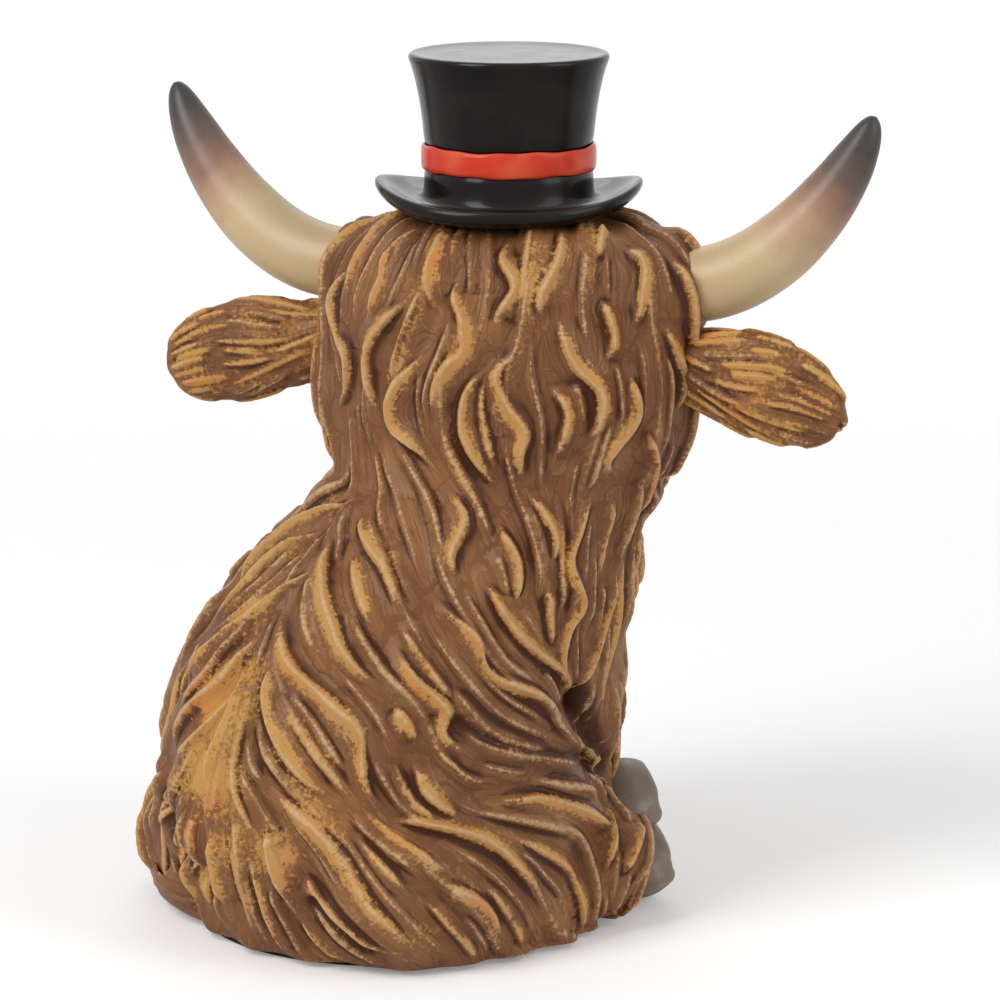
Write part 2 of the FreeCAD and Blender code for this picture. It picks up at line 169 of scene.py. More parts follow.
def storeOn(piece, name, values):
    # a number or a vector at each point, which the piece's paint reads
    values = np.array(values, dtype=np.float32)
    kind, field = ("FLOAT", "value") if values.ndim == 1 else ("FLOAT_VECTOR", "vector")
    made = piece.data.attributes.new(name, kind, "POINT")
    made.data.foreach_set(field, values.ravel())


def between(value):
    return min(max(value, 0.0), 1.0)


def fade(values, start, width):
    # 0 up to the start, and 1 from a width beyond it
    return np.clip((values - start) / width, 0, 1)


def eased(values):
    values = np.clip(values, 0, 1)
    return values * values * (3 - 2 * values)


class Wire:
    # one output of a node; arithmetic on it adds Math nodes
    def __init__(self, maker, socket):
        self.maker = maker
        self.socket = socket

    def math(self, operation, *values):
        return self.maker.math(operation, *values)

    def __add__(self, other):
        return self.math("ADD", self, other)

    def __radd__(self, other):
        return self.math("ADD", other, self)

    def __sub__(self, other):
        return self.math("SUBTRACT", self, other)

    def __rsub__(self, other):
        return self.math("SUBTRACT", other, self)

    def __mul__(self, other):
        return self.math("MULTIPLY", self, other)

    def __rmul__(self, other):
        return self.math("MULTIPLY", other, self)

    def near(self, centre, width):
        # 1 at the centre, 0 from the width on
        return 1 - self.math("ABSOLUTE", self - centre).ramp(0.0, width)

    def ramp(self, low, high):
        # 0 below low, 1 above high, eased between
        inputs = {"Value": self, "From Min": low, "From Max": high}
        return self.maker.add("ShaderNodeMapRange", {"interpolation_type": "SMOOTHSTEP"}, inputs)


class NodeMaker:
    # adds the nodes of a material or of the world, one call for each
    def __init__(self, tree):
        self.tree = tree

    def add(self, kind, settings, inputs, output=0):
        node = self.tree.nodes.new(kind)
        for name, value in settings.items():
            if name == "stops":
                self.setStops(node.color_ramp, value)
            else:
                setattr(node, name, value)
        for socket, value in inputs.items():
            if isinstance(value, Wire):
                self.tree.links.new(value.socket, node.inputs[socket])
            else:
                node.inputs[socket].default_value = value
        return Wire(self, node.outputs[output])

    def setStops(self, ramp, stops):
        while len(ramp.elements) < len(stops):
            ramp.elements.new(0.5)
        for element, (position, colour) in zip(ramp.elements, stops):
            element.position = position
            element.color = colour

    def math(self, operation, *values):
        return self.add("ShaderNodeMath", {"operation": operation}, dict(enumerate(values)))

    def ray(self, kind):
        return self.add("ShaderNodeLightPath", {}, {}, "Is " + kind + " Ray")


class Paint(NodeMaker):
    # a material: what is fixed is set first, and what varies is fed in last
    def __init__(self, name, **fixed):
        self.material = bpy.data.materials.new(name)
        self.material.use_nodes = True
        super().__init__(self.material.node_tree)
        self.shader = self.tree.nodes["Principled BSDF"]
        for socket, value in fixed.items():
            self.shader.inputs[socket.replace("_", " ")].default_value = value
        self.place = self.add("ShaderNodeTexCoord", {}, {}, "Object")

    def colours(self, factor, *stops):
        return self.add("ShaderNodeValToRGB", {"stops": stops}, {"Fac": factor})

    def mix(self, factor, first, second):
        return self.add("ShaderNodeMix", {"data_type": "RGBA"}, {0: factor, 6: first, 7: second}, 2)

    def noise(self, scale, detail, rough=0.5, place=None, distortion=0.0):
        inputs = {"Vector": place or self.place, "Scale": scale, "Detail": detail, "Roughness": rough}
        return self.add("ShaderNodeTexNoise", {}, {**inputs, "Distortion": distortion})

    def stretched(self, place, scale):
        return self.add("ShaderNodeMapping", {}, {"Vector": place, "Scale": scale})

    def read(self, name, output="Fac"):
        return self.add("ShaderNodeAttribute", {"attribute_name": name}, {}, output)

    def bump(self, height, strength, distance):
        return self.add("ShaderNodeBump", {}, {"Height": height, "Strength": strength, "Distance": distance})

    def feed(self, **wires):
        for socket, wire in wires.items():
            self.tree.links.new(wire.socket, self.shader.inputs[socket.replace("_", " ")])
        return self.material


furColours = {
    # dark brown for the streaks and strands, and for the painted shade in the grooves
    "streakAndShadeBrown": linear(70, 36, 12),
    "brown": linear(131, 85, 52),
    "warmBrown": linear(151, 103, 63),
    "gold": linear(200, 148, 78),
    "orangeGold": linear(206, 136, 70),
    "dust": linear(186, 146, 100),
    "tan": linear(220, 188, 150),
}


# How often the brush marks repeat per metre: along a lock, across it and from lock to lock
furMarks = {
    "ticks": (1700.0, 420.0, 60.0),
    "streaks": (150.0, 1300.0, 60.0),
    "strands": (45.0, 900.0, 60.0),
}


def alongLocks(paint, mark, detail, rough):
    place = paint.stretched(paint.read("lockPlace", "Vector"), furMarks[mark])
    return paint.noise(1.0, detail, rough, place)


def furPaint():
    # brown casting, gold brushed on the raised locks, pale dry-brushed crests that also carry a painted
    # highlight, and painted shade in the grooves
    paint = Paint("paintedFur", Specular_IOR_Level=0.22)
    gold = paint.read("gold")
    crest = paint.read("crest")
    height = paint.read("lockHeight")
    broad = paint.noise(45.0, 2.0)
    fine = paint.noise(1100.0, 3.0, 0.65)
    ticks = alongLocks(paint, "ticks", 3.0, 0.7)
    streaks = alongLocks(paint, "streaks", 3.0, 0.6)
    strands = alongLocks(paint, "strands", 2.0, 0.5)
    base = paint.mix(broad.ramp(0.4, 0.62), furColours["brown"], furColours["warmBrown"])
    base = paint.mix((streaks - 0.5) * 0.6 + 0.1, base, furColours["streakAndShadeBrown"])
    base = paint.mix(strands.near(0.5, 0.03) * 0.45, base, furColours["streakAndShadeBrown"])
    base = paint.mix(strands.near(0.57, 0.02) * 0.25, base, furColours["dust"])
    # painted shade: darker in the hollows and at the foot of the locks, where shade falls
    grooveShade = (1 - crest.ramp(0.02, 0.4)) * 0.6 + paint.read("shade").ramp(0.05, 0.85) * 0.9
    base = paint.mix(grooveShade, base, furColours["streakAndShadeBrown"])
    goldTone = paint.mix(paint.noise(70.0, 2.0).ramp(0.5, 0.68), furColours["gold"], furColours["orangeGold"])
    goldTone = paint.mix(streaks.ramp(0.5, 0.8) * 0.35, goldTone, furColours["brown"])
    patches = paint.noise(90.0, 3.0, 0.6)
    brushed = gold + (ticks - 0.5) * 0.8 + (streaks - 0.5) * 0.8 + (fine - 0.5) * 1.2 + (patches - 0.5) * 1.3
    base = paint.mix(brushed.ramp(0.42, 0.78) * 0.95, base, goldTone)
    dust = crest * 0.5 + height * 0.4 + (fine - 0.5) * 0.9 + (ticks - 0.5) * 0.7 + (patches - 0.5) * 0.9
    base = paint.mix(dust.ramp(0.55, 0.9) * 0.55, base, furColours["dust"])
    # pale tan on the crests: dry-brushed paint, and a painted highlight along the edges
    crestTanAndHighlight = crest + (ticks - 0.5) * 0.5 + (fine - 0.5) * 0.4 + (patches - 0.5) * 0.3
    base = paint.mix(crestTanAndHighlight.ramp(0.82, 1.12) * 0.5, base, furColours["tan"])
    relief = streaks * 0.5 + strands * 0.5 + ticks * 0.15 + fine * 0.2
    rough = 0.4 + (fine - 0.5) * 0.2 + brushed.ramp(0.44, 0.6) * 0.1
    normal = paint.bump(relief, 0.5, 0.0006)
    return paint.feed(Base_Color=base, Roughness=rough, Normal=normal)


# From the horn's root to its tip
hornTones = (
    (0.0, linear(190, 162, 120)),
    (0.38, linear(204, 180, 138)),
    (0.5, linear(184, 150, 120)),
    (0.6, linear(142, 106, 86)),
    (0.7, linear(98, 78, 68)),
    (0.82, linear(60, 52, 48)),
    (1.0, linear(42, 38, 38)),
)


def hornPaint():
    # cream root through pinkish brown to a dark tip, read from the distance along the horn
    paint = Paint("paintedHorn", Specular_IOR_Level=0.5)
    along = paint.read("along")
    grain = paint.noise(260.0, 3.0, 0.6)
    cloud = paint.noise(60.0, 2.0)
    shift = along + (grain - 0.5) * 0.08 + (cloud - 0.5) * 0.1
    tone = paint.colours(shift, *hornTones)
    speck = paint.noise(1500.0, 2.0, 0.7)
    tone = paint.mix(speck.ramp(0.62, 0.75) * 0.25, tone, linear(120, 92, 72))
    rough = 0.4 + (cloud - 0.5) * 0.15
    return paint.feed(Base_Color=tone, Roughness=rough, Normal=paint.bump(cloud + grain * 0.4, 0.2, 0.0006))


def glossPaint(name, colour, other, rough):
    # brushed-on gloss paint with a slightly uneven film; its second colour lies in patches at random, and on
    # the red band that lighter orange is a painted highlight
    paint = Paint(name, Specular_IOR_Level=0.14, Coat_Roughness=0.1)
    film = paint.noise(120.0, 2.0, 0.5)
    fine = paint.noise(700.0, 3.0, 0.6)
    tone = paint.mix(film.ramp(0.4, 0.65), colour, other)
    relief = film * 0.8 + fine * 0.2
    uneven = rough + (film - 0.5) * 0.2
    normal = paint.bump(relief, 0.25, 0.0008)
    return paint.feed(Base_Color=tone, Roughness=uneven, Coat_Weight=paint.read("film"), Normal=normal)


def satinPaint(name, colour, worn, rough, scale=300.0):
    # flat colour brushed over a casting, worn paler in patches
    paint = Paint(name, Specular_IOR_Level=0.45)
    patch = paint.noise(scale, 4.0, 0.6)
    fine = paint.noise(scale * 5, 2.0, 0.6)
    tone = paint.mix(patch.ramp(0.5, 0.72), colour, worn)
    uneven = rough + (fine - 0.5) * 0.2
    return paint.feed(Base_Color=tone, Roughness=uneven, Normal=paint.bump(patch + fine * 0.5, 0.2, 0.0004))


def muzzlePaint():
    # rosy skin with dark nostrils and mouth
    paint = Paint("paintedMuzzle", Specular_IOR_Level=0.5)
    patch = paint.noise(160.0, 3.0, 0.6)
    pores = paint.noise(1400.0, 2.0, 0.6)
    tone = paint.mix(patch.ramp(0.4, 0.66), linear(186, 134, 116), linear(158, 108, 92))
    tone = paint.mix(paint.read("hollow").ramp(0.2, 0.75), tone, linear(62, 36, 30))
    rough = 0.36 + (pores - 0.5) * 0.2
    return paint.feed(Base_Color=tone, Roughness=rough, Normal=paint.bump(pores, 0.3, 0.0003))


# The eyes: where they are and the hair's bare ring and raised rim round them, in mm
eye = {
    "side": 17.5,
    "front": -32.7,
    "level": 113.0,
    "pupil": (1.25, 1.5),
    "iris": (2.2, 2.6),
    "bare": (3.0, 4.5),
    "rimRadius": 5.2,
    "rimWidth": 1.2,
    "rimHeight": 1.3,
}
eyeSeats = [Vector((headX + eye["side"] * side, eye["front"], eye["level"])) for side in sides.values()]


def eyePaint():
    # a dark pupil in a brown iris under gloss
    paint = Paint("glossyEye", Specular_IOR_Level=0.6, Coat_Weight=0.8, Coat_Roughness=0.03)
    gaps = []
    for seat in eyeSeats:
        shifted = paint.add("ShaderNodeVectorMath", {"operation": "SUBTRACT"}, {0: paint.place, 1: seat * mm})
        level = paint.add("ShaderNodeVectorMath", {"operation": "MULTIPLY"}, {0: shifted, 1: (1, 0, 1)})
        gaps.append(paint.add("ShaderNodeVectorMath", {"operation": "LENGTH"}, {0: level}, "Value"))
    gap = paint.math("MINIMUM", *gaps)
    grain = paint.noise(2500.0, 2.0, 0.6)
    iris = paint.mix(grain, linear(96, 56, 26), linear(140, 88, 44))
    pupilEdge, irisEdge = ([radius * mm for radius in eye[ring]] for ring in ("pupil", "iris"))
    tone = paint.mix(gap.ramp(*pupilEdge), linear(8, 6, 6), iris)
    tone = paint.mix(gap.ramp(*irisEdge), tone, linear(20, 13, 10))
    return paint.feed(Base_Color=tone, Roughness=0.08 + grain * 0.05, Normal=paint.bump(grain, 0.05, 0.0001))


def feltPaint():
    paint = Paint("baseFelt", Specular_IOR_Level=0.2, Roughness=0.95)
    fibre = paint.noise(2600.0, 4.0, 0.8, distortion=1.2)
    tone = paint.mix(fibre, linear(38, 30, 27), linear(66, 54, 48))
    return paint.feed(Base_Color=tone, Normal=paint.bump(fibre, 0.6, 0.0004))


def steelPaint():
    paint = Paint("pinSteel", Metallic=1.0)
    brushed = paint.noise(1.0, 3.0, 0.6, paint.stretched(paint.place, (300.0, 3000.0, 3000.0)))
    tone = paint.mix(brushed, linear(150, 150, 152), linear(190, 190, 192))
    rough = 0.25 + brushed * 0.2
    return paint.feed(Base_Color=tone, Roughness=rough, Normal=paint.bump(brushed, 0.2, 0.0001))


fur = furPaint()
hornTone = hornPaint()
blackGloss = glossPaint("glossyBlack", linear(17, 13, 11), linear(27, 22, 19), 0.22)
# the band's second, lighter orange is a painted highlight, laid in patches at random
redGloss = glossPaint("glossyRed", linear(214, 62, 38), linear(224, 92, 60), 0.26)
hoofGrey = satinPaint("paintedHoof", linear(122, 107, 95), linear(142, 127, 115), 0.4)
nosePaint = muzzlePaint()
eyeGloss = eyePaint()
rawResin = satinPaint("rawResin", linear(222, 214, 198), linear(206, 196, 178), 0.5)
felt = feltPaint()
steel = steelPaint()
print("stage: paints")


# The camera, fitted to the picture: its place from the hat's axis in mm, and the way it looks
view = {
    "hatAxis": Vector((hatX, headY, 0)),
    "away": 800.0,
    "height": 260.0,
    "turnDeg": 22.0,
    "pitchDeg": 12.53,
    "focalPixels": 4190.0,
    "shiftRight": -1.7,
}
viewTurn = math.radians(view["turnDeg"])
towardCamera = Vector((-math.sin(viewTurn), math.cos(viewTurn), 0))
imageRight = Vector((-math.cos(viewTurn), -math.sin(viewTurn), 0))
pitch = math.radians(view["pitchDeg"])
eyePoint = view["hatAxis"] + towardCamera * view["away"] + imageRight * view["shiftRight"]
eyePoint += up * view["height"]
lookWay = towardCamera * -math.cos(pitch) - up * math.sin(pitch)
imageUp = towardCamera * -math.sin(pitch) + up * math.cos(pitch)


def pixelRay(across, down):
    # the way through a pixel of the 1000 by 1000 picture
    focal = view["focalPixels"]
    return (lookWay + imageRight * ((across - 500) / focal) + imageUp * ((500 - down) / focal)).normalized()


def addCamera():
    camera = bpy.data.objects.new("camera", bpy.data.cameras.new("camera"))
    bpy.context.scene.collection.objects.link(camera)
    camera.location = eyePoint * mm
    camera.rotation_mode = "QUATERNION"
    camera.rotation_quaternion = lookWay.to_track_quat("-Z", "Y")
    camera.data.sensor_width = 36
    camera.data.lens = 36 * view["focalPixels"] / 1000
    camera.data.clip_start = 0.01
    bpy.context.scene.camera = camera


class Skin:
    # the points of a dense mesh in mm, with smoothed normals and neighbours
    def __init__(self, piece):
        mesh = piece.data
        self.piece = piece
        self.count = len(mesh.vertices)
        points = np.empty(self.count * 3)
        mesh.vertices.foreach_get("co", points)
        self.points = points.reshape(-1, 3) / mm
        normals = np.empty(self.count * 3)
        mesh.vertices.foreach_get("normal", normals)
        edges = np.empty(len(mesh.edges) * 2, dtype=np.int64)
        mesh.edges.foreach_get("vertices", edges)
        self.edges = edges.reshape(-1, 2)
        self.links = np.maximum(np.bincount(edges, minlength=self.count), 1)
        self.normals = self.unit(self.spread(normals.reshape(-1, 3), 6))
        self.tree = kdtree.KDTree(self.count)
        for index, point in enumerate(self.points):
            self.tree.insert(point, index)
        self.tree.balance()

    def unit(self, vectors):
        return vectors / np.maximum(np.linalg.norm(vectors, axis=1, keepdims=True), 1e-9)

    def neighbourMean(self, values):
        first, second = self.edges[:, 0], self.edges[:, 1]
        columns = []
        for column in values.T:
            total = np.bincount(first, column[second], self.count)
            total += np.bincount(second, column[first], self.count)
            columns.append(total / self.links)
        return np.stack(columns, axis=1)

    def spread(self, values, rounds):
        flat = values.ndim == 1
        values = values[:, None] if flat else values
        for _ in range(rounds):
            values = (values + self.neighbourMean(values)) / 2
        return values[:, 0] if flat else values

    def away(self, spot):
        return np.linalg.norm(self.points - np.array(spot), axis=1)

    def onSurface(self, spot):
        index = self.tree.find(spot)[1]
        normal = self.normals[index]
        return spot - normal * np.dot(spot - self.points[index], normal), normal

    def write(self):
        self.piece.data.vertices.foreach_set("co", (self.points * mm).ravel())
        self.piece.data.update()


def closedSkin(name, voxel, names, pads=()):
    # one watertight mesh round copies of CAD nodes and pads of hair
    copies = [addPad(*pad) for pad in pads]
    for node in names:
        copy = bpy.data.objects.new(name, nodes[node].data.copy())
        bpy.context.scene.collection.objects.link(copy)
        copies.append(copy)
    piece = joinPieces(*copies)
    piece.name = piece.data.name = name
    mergeDoubles(piece, 0.001, outwards=False)
    applyModifier(piece, "REMESH", mode="VOXEL", voxel_size=voxel * mm)
    keepOutside(piece)
    return piece


def addPad(centre, radii, turnDeg=0.0):
    # an oval swelling for the hair to lie on
    deselect()
    bpy.ops.mesh.primitive_uv_sphere_add(segments=48, ring_count=24, radius=mm, location=Vector(centre) * mm)
    pad = bpy.context.object
    pad.scale = radii
    pad.rotation_euler = (0, 0, math.radians(turnDeg))
    settle(pad)
    return pad


def keepOutside(piece):
    # the walls of the hollows inside go
    editMode(piece, "DESELECT")
    mesh = bmesh.from_edit_mesh(piece.data)
    mesh.verts.ensure_lookup_table()
    max(mesh.verts, key=lambda vertex: vertex.co.x).select_set(True)
    bpy.ops.mesh.select_linked()
    bpy.ops.mesh.select_all(action="INVERT")
    bpy.ops.mesh.delete(type="VERT")
    deselect()


# A lock's shape: where its rise starts and ends and how wide its tips are, as shares of its length and width,
# then how far its steep side, its gentle side and the gold on them reach, in half widths
lockShape = {
    "startShares": (0.15, 0.3),
    "endShares": (0.2, 0.4),
    "tipShare": 0.14,
    "steep": 0.36,
    "gentle": 1.2,
    "steepGold": 0.35,
    "gentleGold": 0.85,
    "reach": 2.1,
}


class Ridge:
    # the crest of a lock of hair along a path on the skin: gentle on one side, steep on the other
    def __init__(self, path, width, height, gold=0.0, side=0):
        self.path = np.array(path)
        self.width = width
        self.height = height
        self.gold = gold
        self.side = side or random.choice((-1, 1))
        self.start = random.uniform(*lockShape["startShares"])
        self.end = random.uniform(*lockShape["endShares"])


def waved(way, normal, turn):
    # the way turned about the normal
    return way * math.cos(turn) + np.cross(normal, way) * math.sin(turn)


class Spots:
    # places in mm that are taken
    def __init__(self):
        self.rows = np.full((40000, 3), 9999.0)
        self.count = 0

    def add(self, path):
        self.rows[self.count:self.count + len(path)] = path
        self.count += len(path)

    def gap(self, spot):
        if self.count == 0:
            return 99.0
        away = self.rows[:self.count] - spot
        return math.sqrt((away * away).sum(axis=1).min())


# Filling the skin with locks: starts that are tried, step in mm, how near a lock may come to the next one
# as a share of their spacing, and the fewest points of a lock
combing = {"tries": 12000, "step": 1.2, "clearShare": 0.45, "fewest": 8}


def traceRidge(skin, start, length, flow, taken, clear):
    # follows the hair from the start, until it comes too near to a ridge that is there
    spot, normal = skin.onSurface(np.array(start))
    path = [spot]
    for _ in range(int(abs(length) / combing["step"])):
        way = flow(spot, normal) * (1 if length > 0 else -1)
        way = way - normal * np.dot(way, normal)
        size = np.linalg.norm(way)
        if size < 1e-6:
            break
        spot, normal = skin.onSurface(spot + way / size * combing["step"])
        if taken.gap(spot) < clear:
            break
        path.append(spot)
    return path


def combRidges(skin, flow, keep, comb, taken):
    # fills the skin with ridges that keep their distance, as combed hair does
    combed = []
    clear = comb["spacing"] * combing["clearShare"]
    for index in rng.permutation(skin.count)[:combing["tries"]]:
        start = skin.points[index]
        if not keep(start) or taken.gap(start) < comb["spacing"]:
            continue
        reach = random.uniform(*comb["length"]) / 2
        back = traceRidge(skin, start, -reach, flow, taken, clear)
        ahead = traceRidge(skin, start, reach, flow, taken, clear)
        path = back[:0:-1] + ahead
        if len(path) >= combing["fewest"]:
            taken.add(path)
            combed.append(path)
    return combed


def layRidges(skin, ridges):
    # the ridges run into each other, and the nearest one gives a point its place along and across the hair
    height = np.zeros(skin.count)
    gold = np.zeros(skin.count)
    nearest = np.full(skin.count, 99.0)
    place = np.zeros((skin.count, 3))
    for number, ridge in enumerate(ridges):
        path = ridge.path
        if len(path) < 4:
            continue
        found = set()
        reach = ridge.width * lockShape["reach"] + 1.5
        for spot in path[::max(int(reach / 2.6), 1)]:
            found.update(index for _, index, _ in skin.tree.find_range(spot, reach))
        near = np.fromiter(found, dtype=np.int64)
        start, way = path[:-1], path[1:] - path[:-1]
        size = np.maximum((way * way).sum(axis=1), 1e-9)
        gap = skin.points[near][:, None, :] - start[None]
        part = np.clip((gap * way[None]).sum(axis=2) / size, 0, 1)
        offset = gap - part[:, :, None] * way[None]
        best = (offset * offset).sum(axis=2).argmin(axis=1)
        row = np.arange(len(near))
        offset = offset[row, best]
        share = (best + part[row, best]) / len(way)
        length = math.sqrt(float(size.mean())) * len(way)
        aside = np.sign((np.cross(skin.normals[near], way[best]) * offset).sum(axis=1)) * ridge.side
        far = np.linalg.norm(offset, axis=1)
        belly = np.sin(math.pi * share ** 0.9) ** 0.7
        across = aside * far / (ridge.width * (lockShape["tipShare"] + (1 - lockShape["tipShare"]) * belly))
        steep = np.exp(-np.abs(across / lockShape["steep"]) ** 1.2)
        gentle = np.exp(-np.abs(across / lockShape["gentle"]) ** 1.35)
        rise = eased(share / ridge.start) * eased((1 - share) / ridge.end)
        value = ridge.height * np.where(across > 0, steep, gentle) * rise
        height[near] += value ** 4
        steepGold = np.exp(-(across / lockShape["steepGold"]) ** 2)
        gentleGold = np.exp(-((across + 0.05) / lockShape["gentleGold"]) ** 2)
        brushed = np.where(across > 0, steepGold, gentleGold)
        gold[near] = np.maximum(gold[near], ridge.gold * brushed * rise ** 0.6)
        closer = far / ridge.width < nearest[near]
        chosen = near[closer]
        nearest[chosen] = far[closer] / ridge.width
        place[chosen, 0] = share[closer] * length * mm
        place[chosen, 1] = (aside * far)[closer] * mm
        place[chosen, 2] = number * 0.37
    return height ** 0.25, gold, place


# How deep the skin between the locks is pressed, in mm, and what the stored height, shade and crest come from
pressing = {
    "sunk": 0.6,
    "fullHeight": 2.4,
    "fullShade": 0.6,
    "carveShade": 0.35,
    "crestGain": 11.0,
    "evenShare": 0.6,
}


def pressFur(skin, ridges, carve, mask, swells, brushed):
    # lifts the skin by its swells and ridges, presses the creases in, and stores what the paint reads
    height, gold, place = layRidges(skin, ridges)
    broad, broadGold, _ = layRidges(skin, swells)
    height = height + broad
    gold = np.maximum(np.maximum(gold, broadGold), brushed)
    relief = (skin.spread(height, 1) - pressing["sunk"]) * mask - carve
    skin.points = skin.points + skin.normals * relief[:, None]
    bend = -((skin.neighbourMean(skin.points) - skin.points) * skin.normals).sum(axis=1)
    bend = skin.spread(bend, 1) - pressing["evenShare"] * skin.spread(bend, 14)
    # painted shade: how far a point lies below the skin round it, deeper in the creases
    shade = skin.spread(height, 16) - height + np.maximum(carve, 0) * pressing["carveShade"]
    skin.write()
    stored = {
        "lockHeight": np.clip(height * mask / pressing["fullHeight"], 0, 1),
        "gold": gold * mask,
        "shade": np.clip(shade / pressing["fullShade"], 0, 1) * mask,
        "crest": np.clip(0.5 + bend * pressing["crestGain"], 0, 1),
        "lockPlace": place,
    }
    for name, values in stored.items():
        storeOn(skin.piece, name, values)


# Locks drawn over the picture, each a run of pixels from its root to its tip, with its half width in mm
goldLocks = {
    "headFarLeft": (1.7, (354, 257), (337, 302), (344, 335), (352, 360), (350, 387), (337, 410), (340, 424)),
    "headLeftA": (1.6, (426, 222), (408, 240), (388, 262), (385, 285), (370, 315), (362, 334)),
    "headLeftWide": (2.3, (454, 224), (441, 246), (432, 272), (431, 295), (438, 314)),
    "headMidLeft": (2.3, (462, 270), (455, 297), (463, 322), (464, 350), (446, 370), (436, 395), (437, 430)),
    "headLeftB": (1.8, (411, 299), (388, 324), (375, 350), (374, 384), (380, 416)),
    "headLeftC": (1.9, (428, 350), (406, 375), (392, 402), (397, 430), (422, 452), (441, 478)),
    "headMidTop": (1.6, (512, 236), (502, 260), (514, 288), (497, 315), (494, 338)),
    "headMidLow": (1.7, (490, 362), (468, 390), (462, 425), (472, 455), (498, 491)),
    "headMidA": (2.2, (515, 352), (499, 375), (507, 402), (526, 430), (521, 457), (523, 486)),
    "headRightTop": (1.7, (562, 228), (556, 262), (539, 297), (541, 322)),
    "headRightA": (2.2, (561, 308), (562, 338), (573, 365), (596, 390), (596, 420), (584, 444)),
    "headRightB": (1.9, (622, 244), (643, 270), (637, 306), (633, 332)),
    "headRightC": (1.5, (600, 298), (611, 338), (602, 368)),
    "headRightD": (1.8, (549, 384), (566, 414), (555, 462)),
    "headRightE": (2.0, (631, 372), (636, 415), (608, 458), (616, 478)),
    "headFarRightA": (1.7, (662, 322), (676, 370), (676, 418)),
    "headFarRightB": (1.6, (665, 250), (687, 295), (688, 350), (680, 384)),
    "headRightF": (1.3, (601, 226), (595, 262)),
    "napeA": (1.8, (447, 486), (467, 520), (453, 557), (457, 584)),
    "napeB": (1.7, (497, 522), (518, 563), (517, 604)),
    "napeC": (1.7, (523, 488), (550, 530), (550, 565)),
    "napeD": (1.9, (593, 488), (568, 557), (580, 603), (566, 632), (563, 670), (577, 718)),
    "napeE": (1.6, (620, 560), (598, 630), (581, 690), (581, 724)),
    "napeF": (1.6, (647, 430), (650, 468), (634, 516)),
    "flankA": (2.0, (360, 512), (367, 543), (387, 577), (398, 612)),
    "flankB": (2.2, (333, 530), (326, 585), (337, 630), (353, 663), (385, 692)),
    "flankC": (2.3, (290, 595), (283, 630), (297, 670), (328, 697), (360, 733), (367, 787), (388, 818)),
    "flankD": (2.4, (393, 642), (413, 677), (448, 707), (444, 733), (471, 758)),
    "flankE": (1.8, (483, 578), (503, 617), (530, 650), (563, 677), (574, 712)),
    "flankF": (1.7, (430, 596), (470, 633), (487, 670), (530, 690), (568, 724)),
    "haunchA": (2.5, (273, 661), (266, 697), (280, 743), (307, 780), (335, 798)),
    "haunchB": (2.2, (412, 758), (427, 793), (461, 824)),
    "haunchC": (1.8, (490, 801), (533, 797), (580, 807), (614, 838)),
    "haunchD": (2.0, (393, 819), (447, 830), (497, 850), (533, 890), (548, 914)),
    "haunchE": (2.5, (270, 789), (307, 817), (340, 853), (370, 900), (403, 937), (428, 961)),
    "haunchF": (1.9, (300, 868), (330, 905), (352, 930), (398, 957)),
    "haunchG": (2.0, (443, 880), (482, 905), (503, 940)),
    "backStreakA": (2.2, (213, 828), (219, 866), (226, 908)),
    "backStreakB": (2.3, (266, 828), (276, 868), (287, 902)),
    "backPatch": (2.6, (248, 668), (236, 712), (212, 760), (200, 800)),
    "backA": (1.7, (353, 500), (307, 520), (262, 556), (230, 595)),
    "backB": (1.7, (322, 560), (262, 612), (205, 655), (182, 700)),
    "backC": (1.8, (263, 628), (230, 677), (187, 718), (170, 756)),
    "backD": (1.7, (253, 684), (212, 724), (180, 756), (160, 792)),
    "cuffA": (1.6, (598, 800), (612, 836), (604, 872)),
    "cuffB": (1.5, (625, 790), (637, 830), (622, 878)),
}

# Brown locks between them, which only lead the hair
brownLocks = {
    "headA": ((470, 232), (484, 272), (482, 310), (470, 352), (448, 400), (452, 444), (462, 490)),
    "headB": ((536, 232), (532, 276), (524, 318), (508, 350)),
    "headC": ((580, 236), (585, 280), (580, 320), (596, 360), (616, 402), (606, 450), (590, 486)),
    "headD": ((398, 232), (372, 268), (356, 300), (362, 340), (374, 372), (362, 420), (370, 462)),
    "headE": ((436, 318), (416, 350), (414, 392), (428, 430), (458, 470), (486, 512)),
    "headF": ((488, 392), (500, 432), (498, 468), (506, 510)),
    "headG": ((540, 392), (548, 430), (540, 470), (548, 512)),
    "headH": ((652, 320), (656, 372), (654, 420), (636, 462)),
    "headI": ((332, 350), (338, 390), (352, 430), (352, 468)),
    "flankG": ((405, 505), (420, 560), (440, 610), (452, 652)),
    "flankH": ((350, 560), (357, 610), (384, 655), (424, 700)),
    "flankI": ((310, 575), (306, 630), (330, 675), (372, 722), (392, 770)),
    "flankJ": ((425, 640), (460, 680), (500, 722), (560, 750)),
    "flankK": ((455, 733), (490, 752), (540, 757), (590, 745)),
    "haunchH": ((380, 745), (400, 790), (430, 830), (480, 860)),
    "haunchI": ((300, 735), (330, 782), (372, 822), (430, 868), (470, 920)),
    "haunchJ": ((250, 770), (280, 830), (318, 880), (352, 926)),
    "haunchK": ((480, 822), (530, 830), (580, 850), (604, 886)),
    "haunchL": ((470, 775), (520, 780), (570, 782), (604, 792)),
    "chestA": ((606, 540), (608, 600), (600, 660), (594, 722)),
    "chestB": ((630, 600), (624, 660), (610, 716), (612, 756)),
}

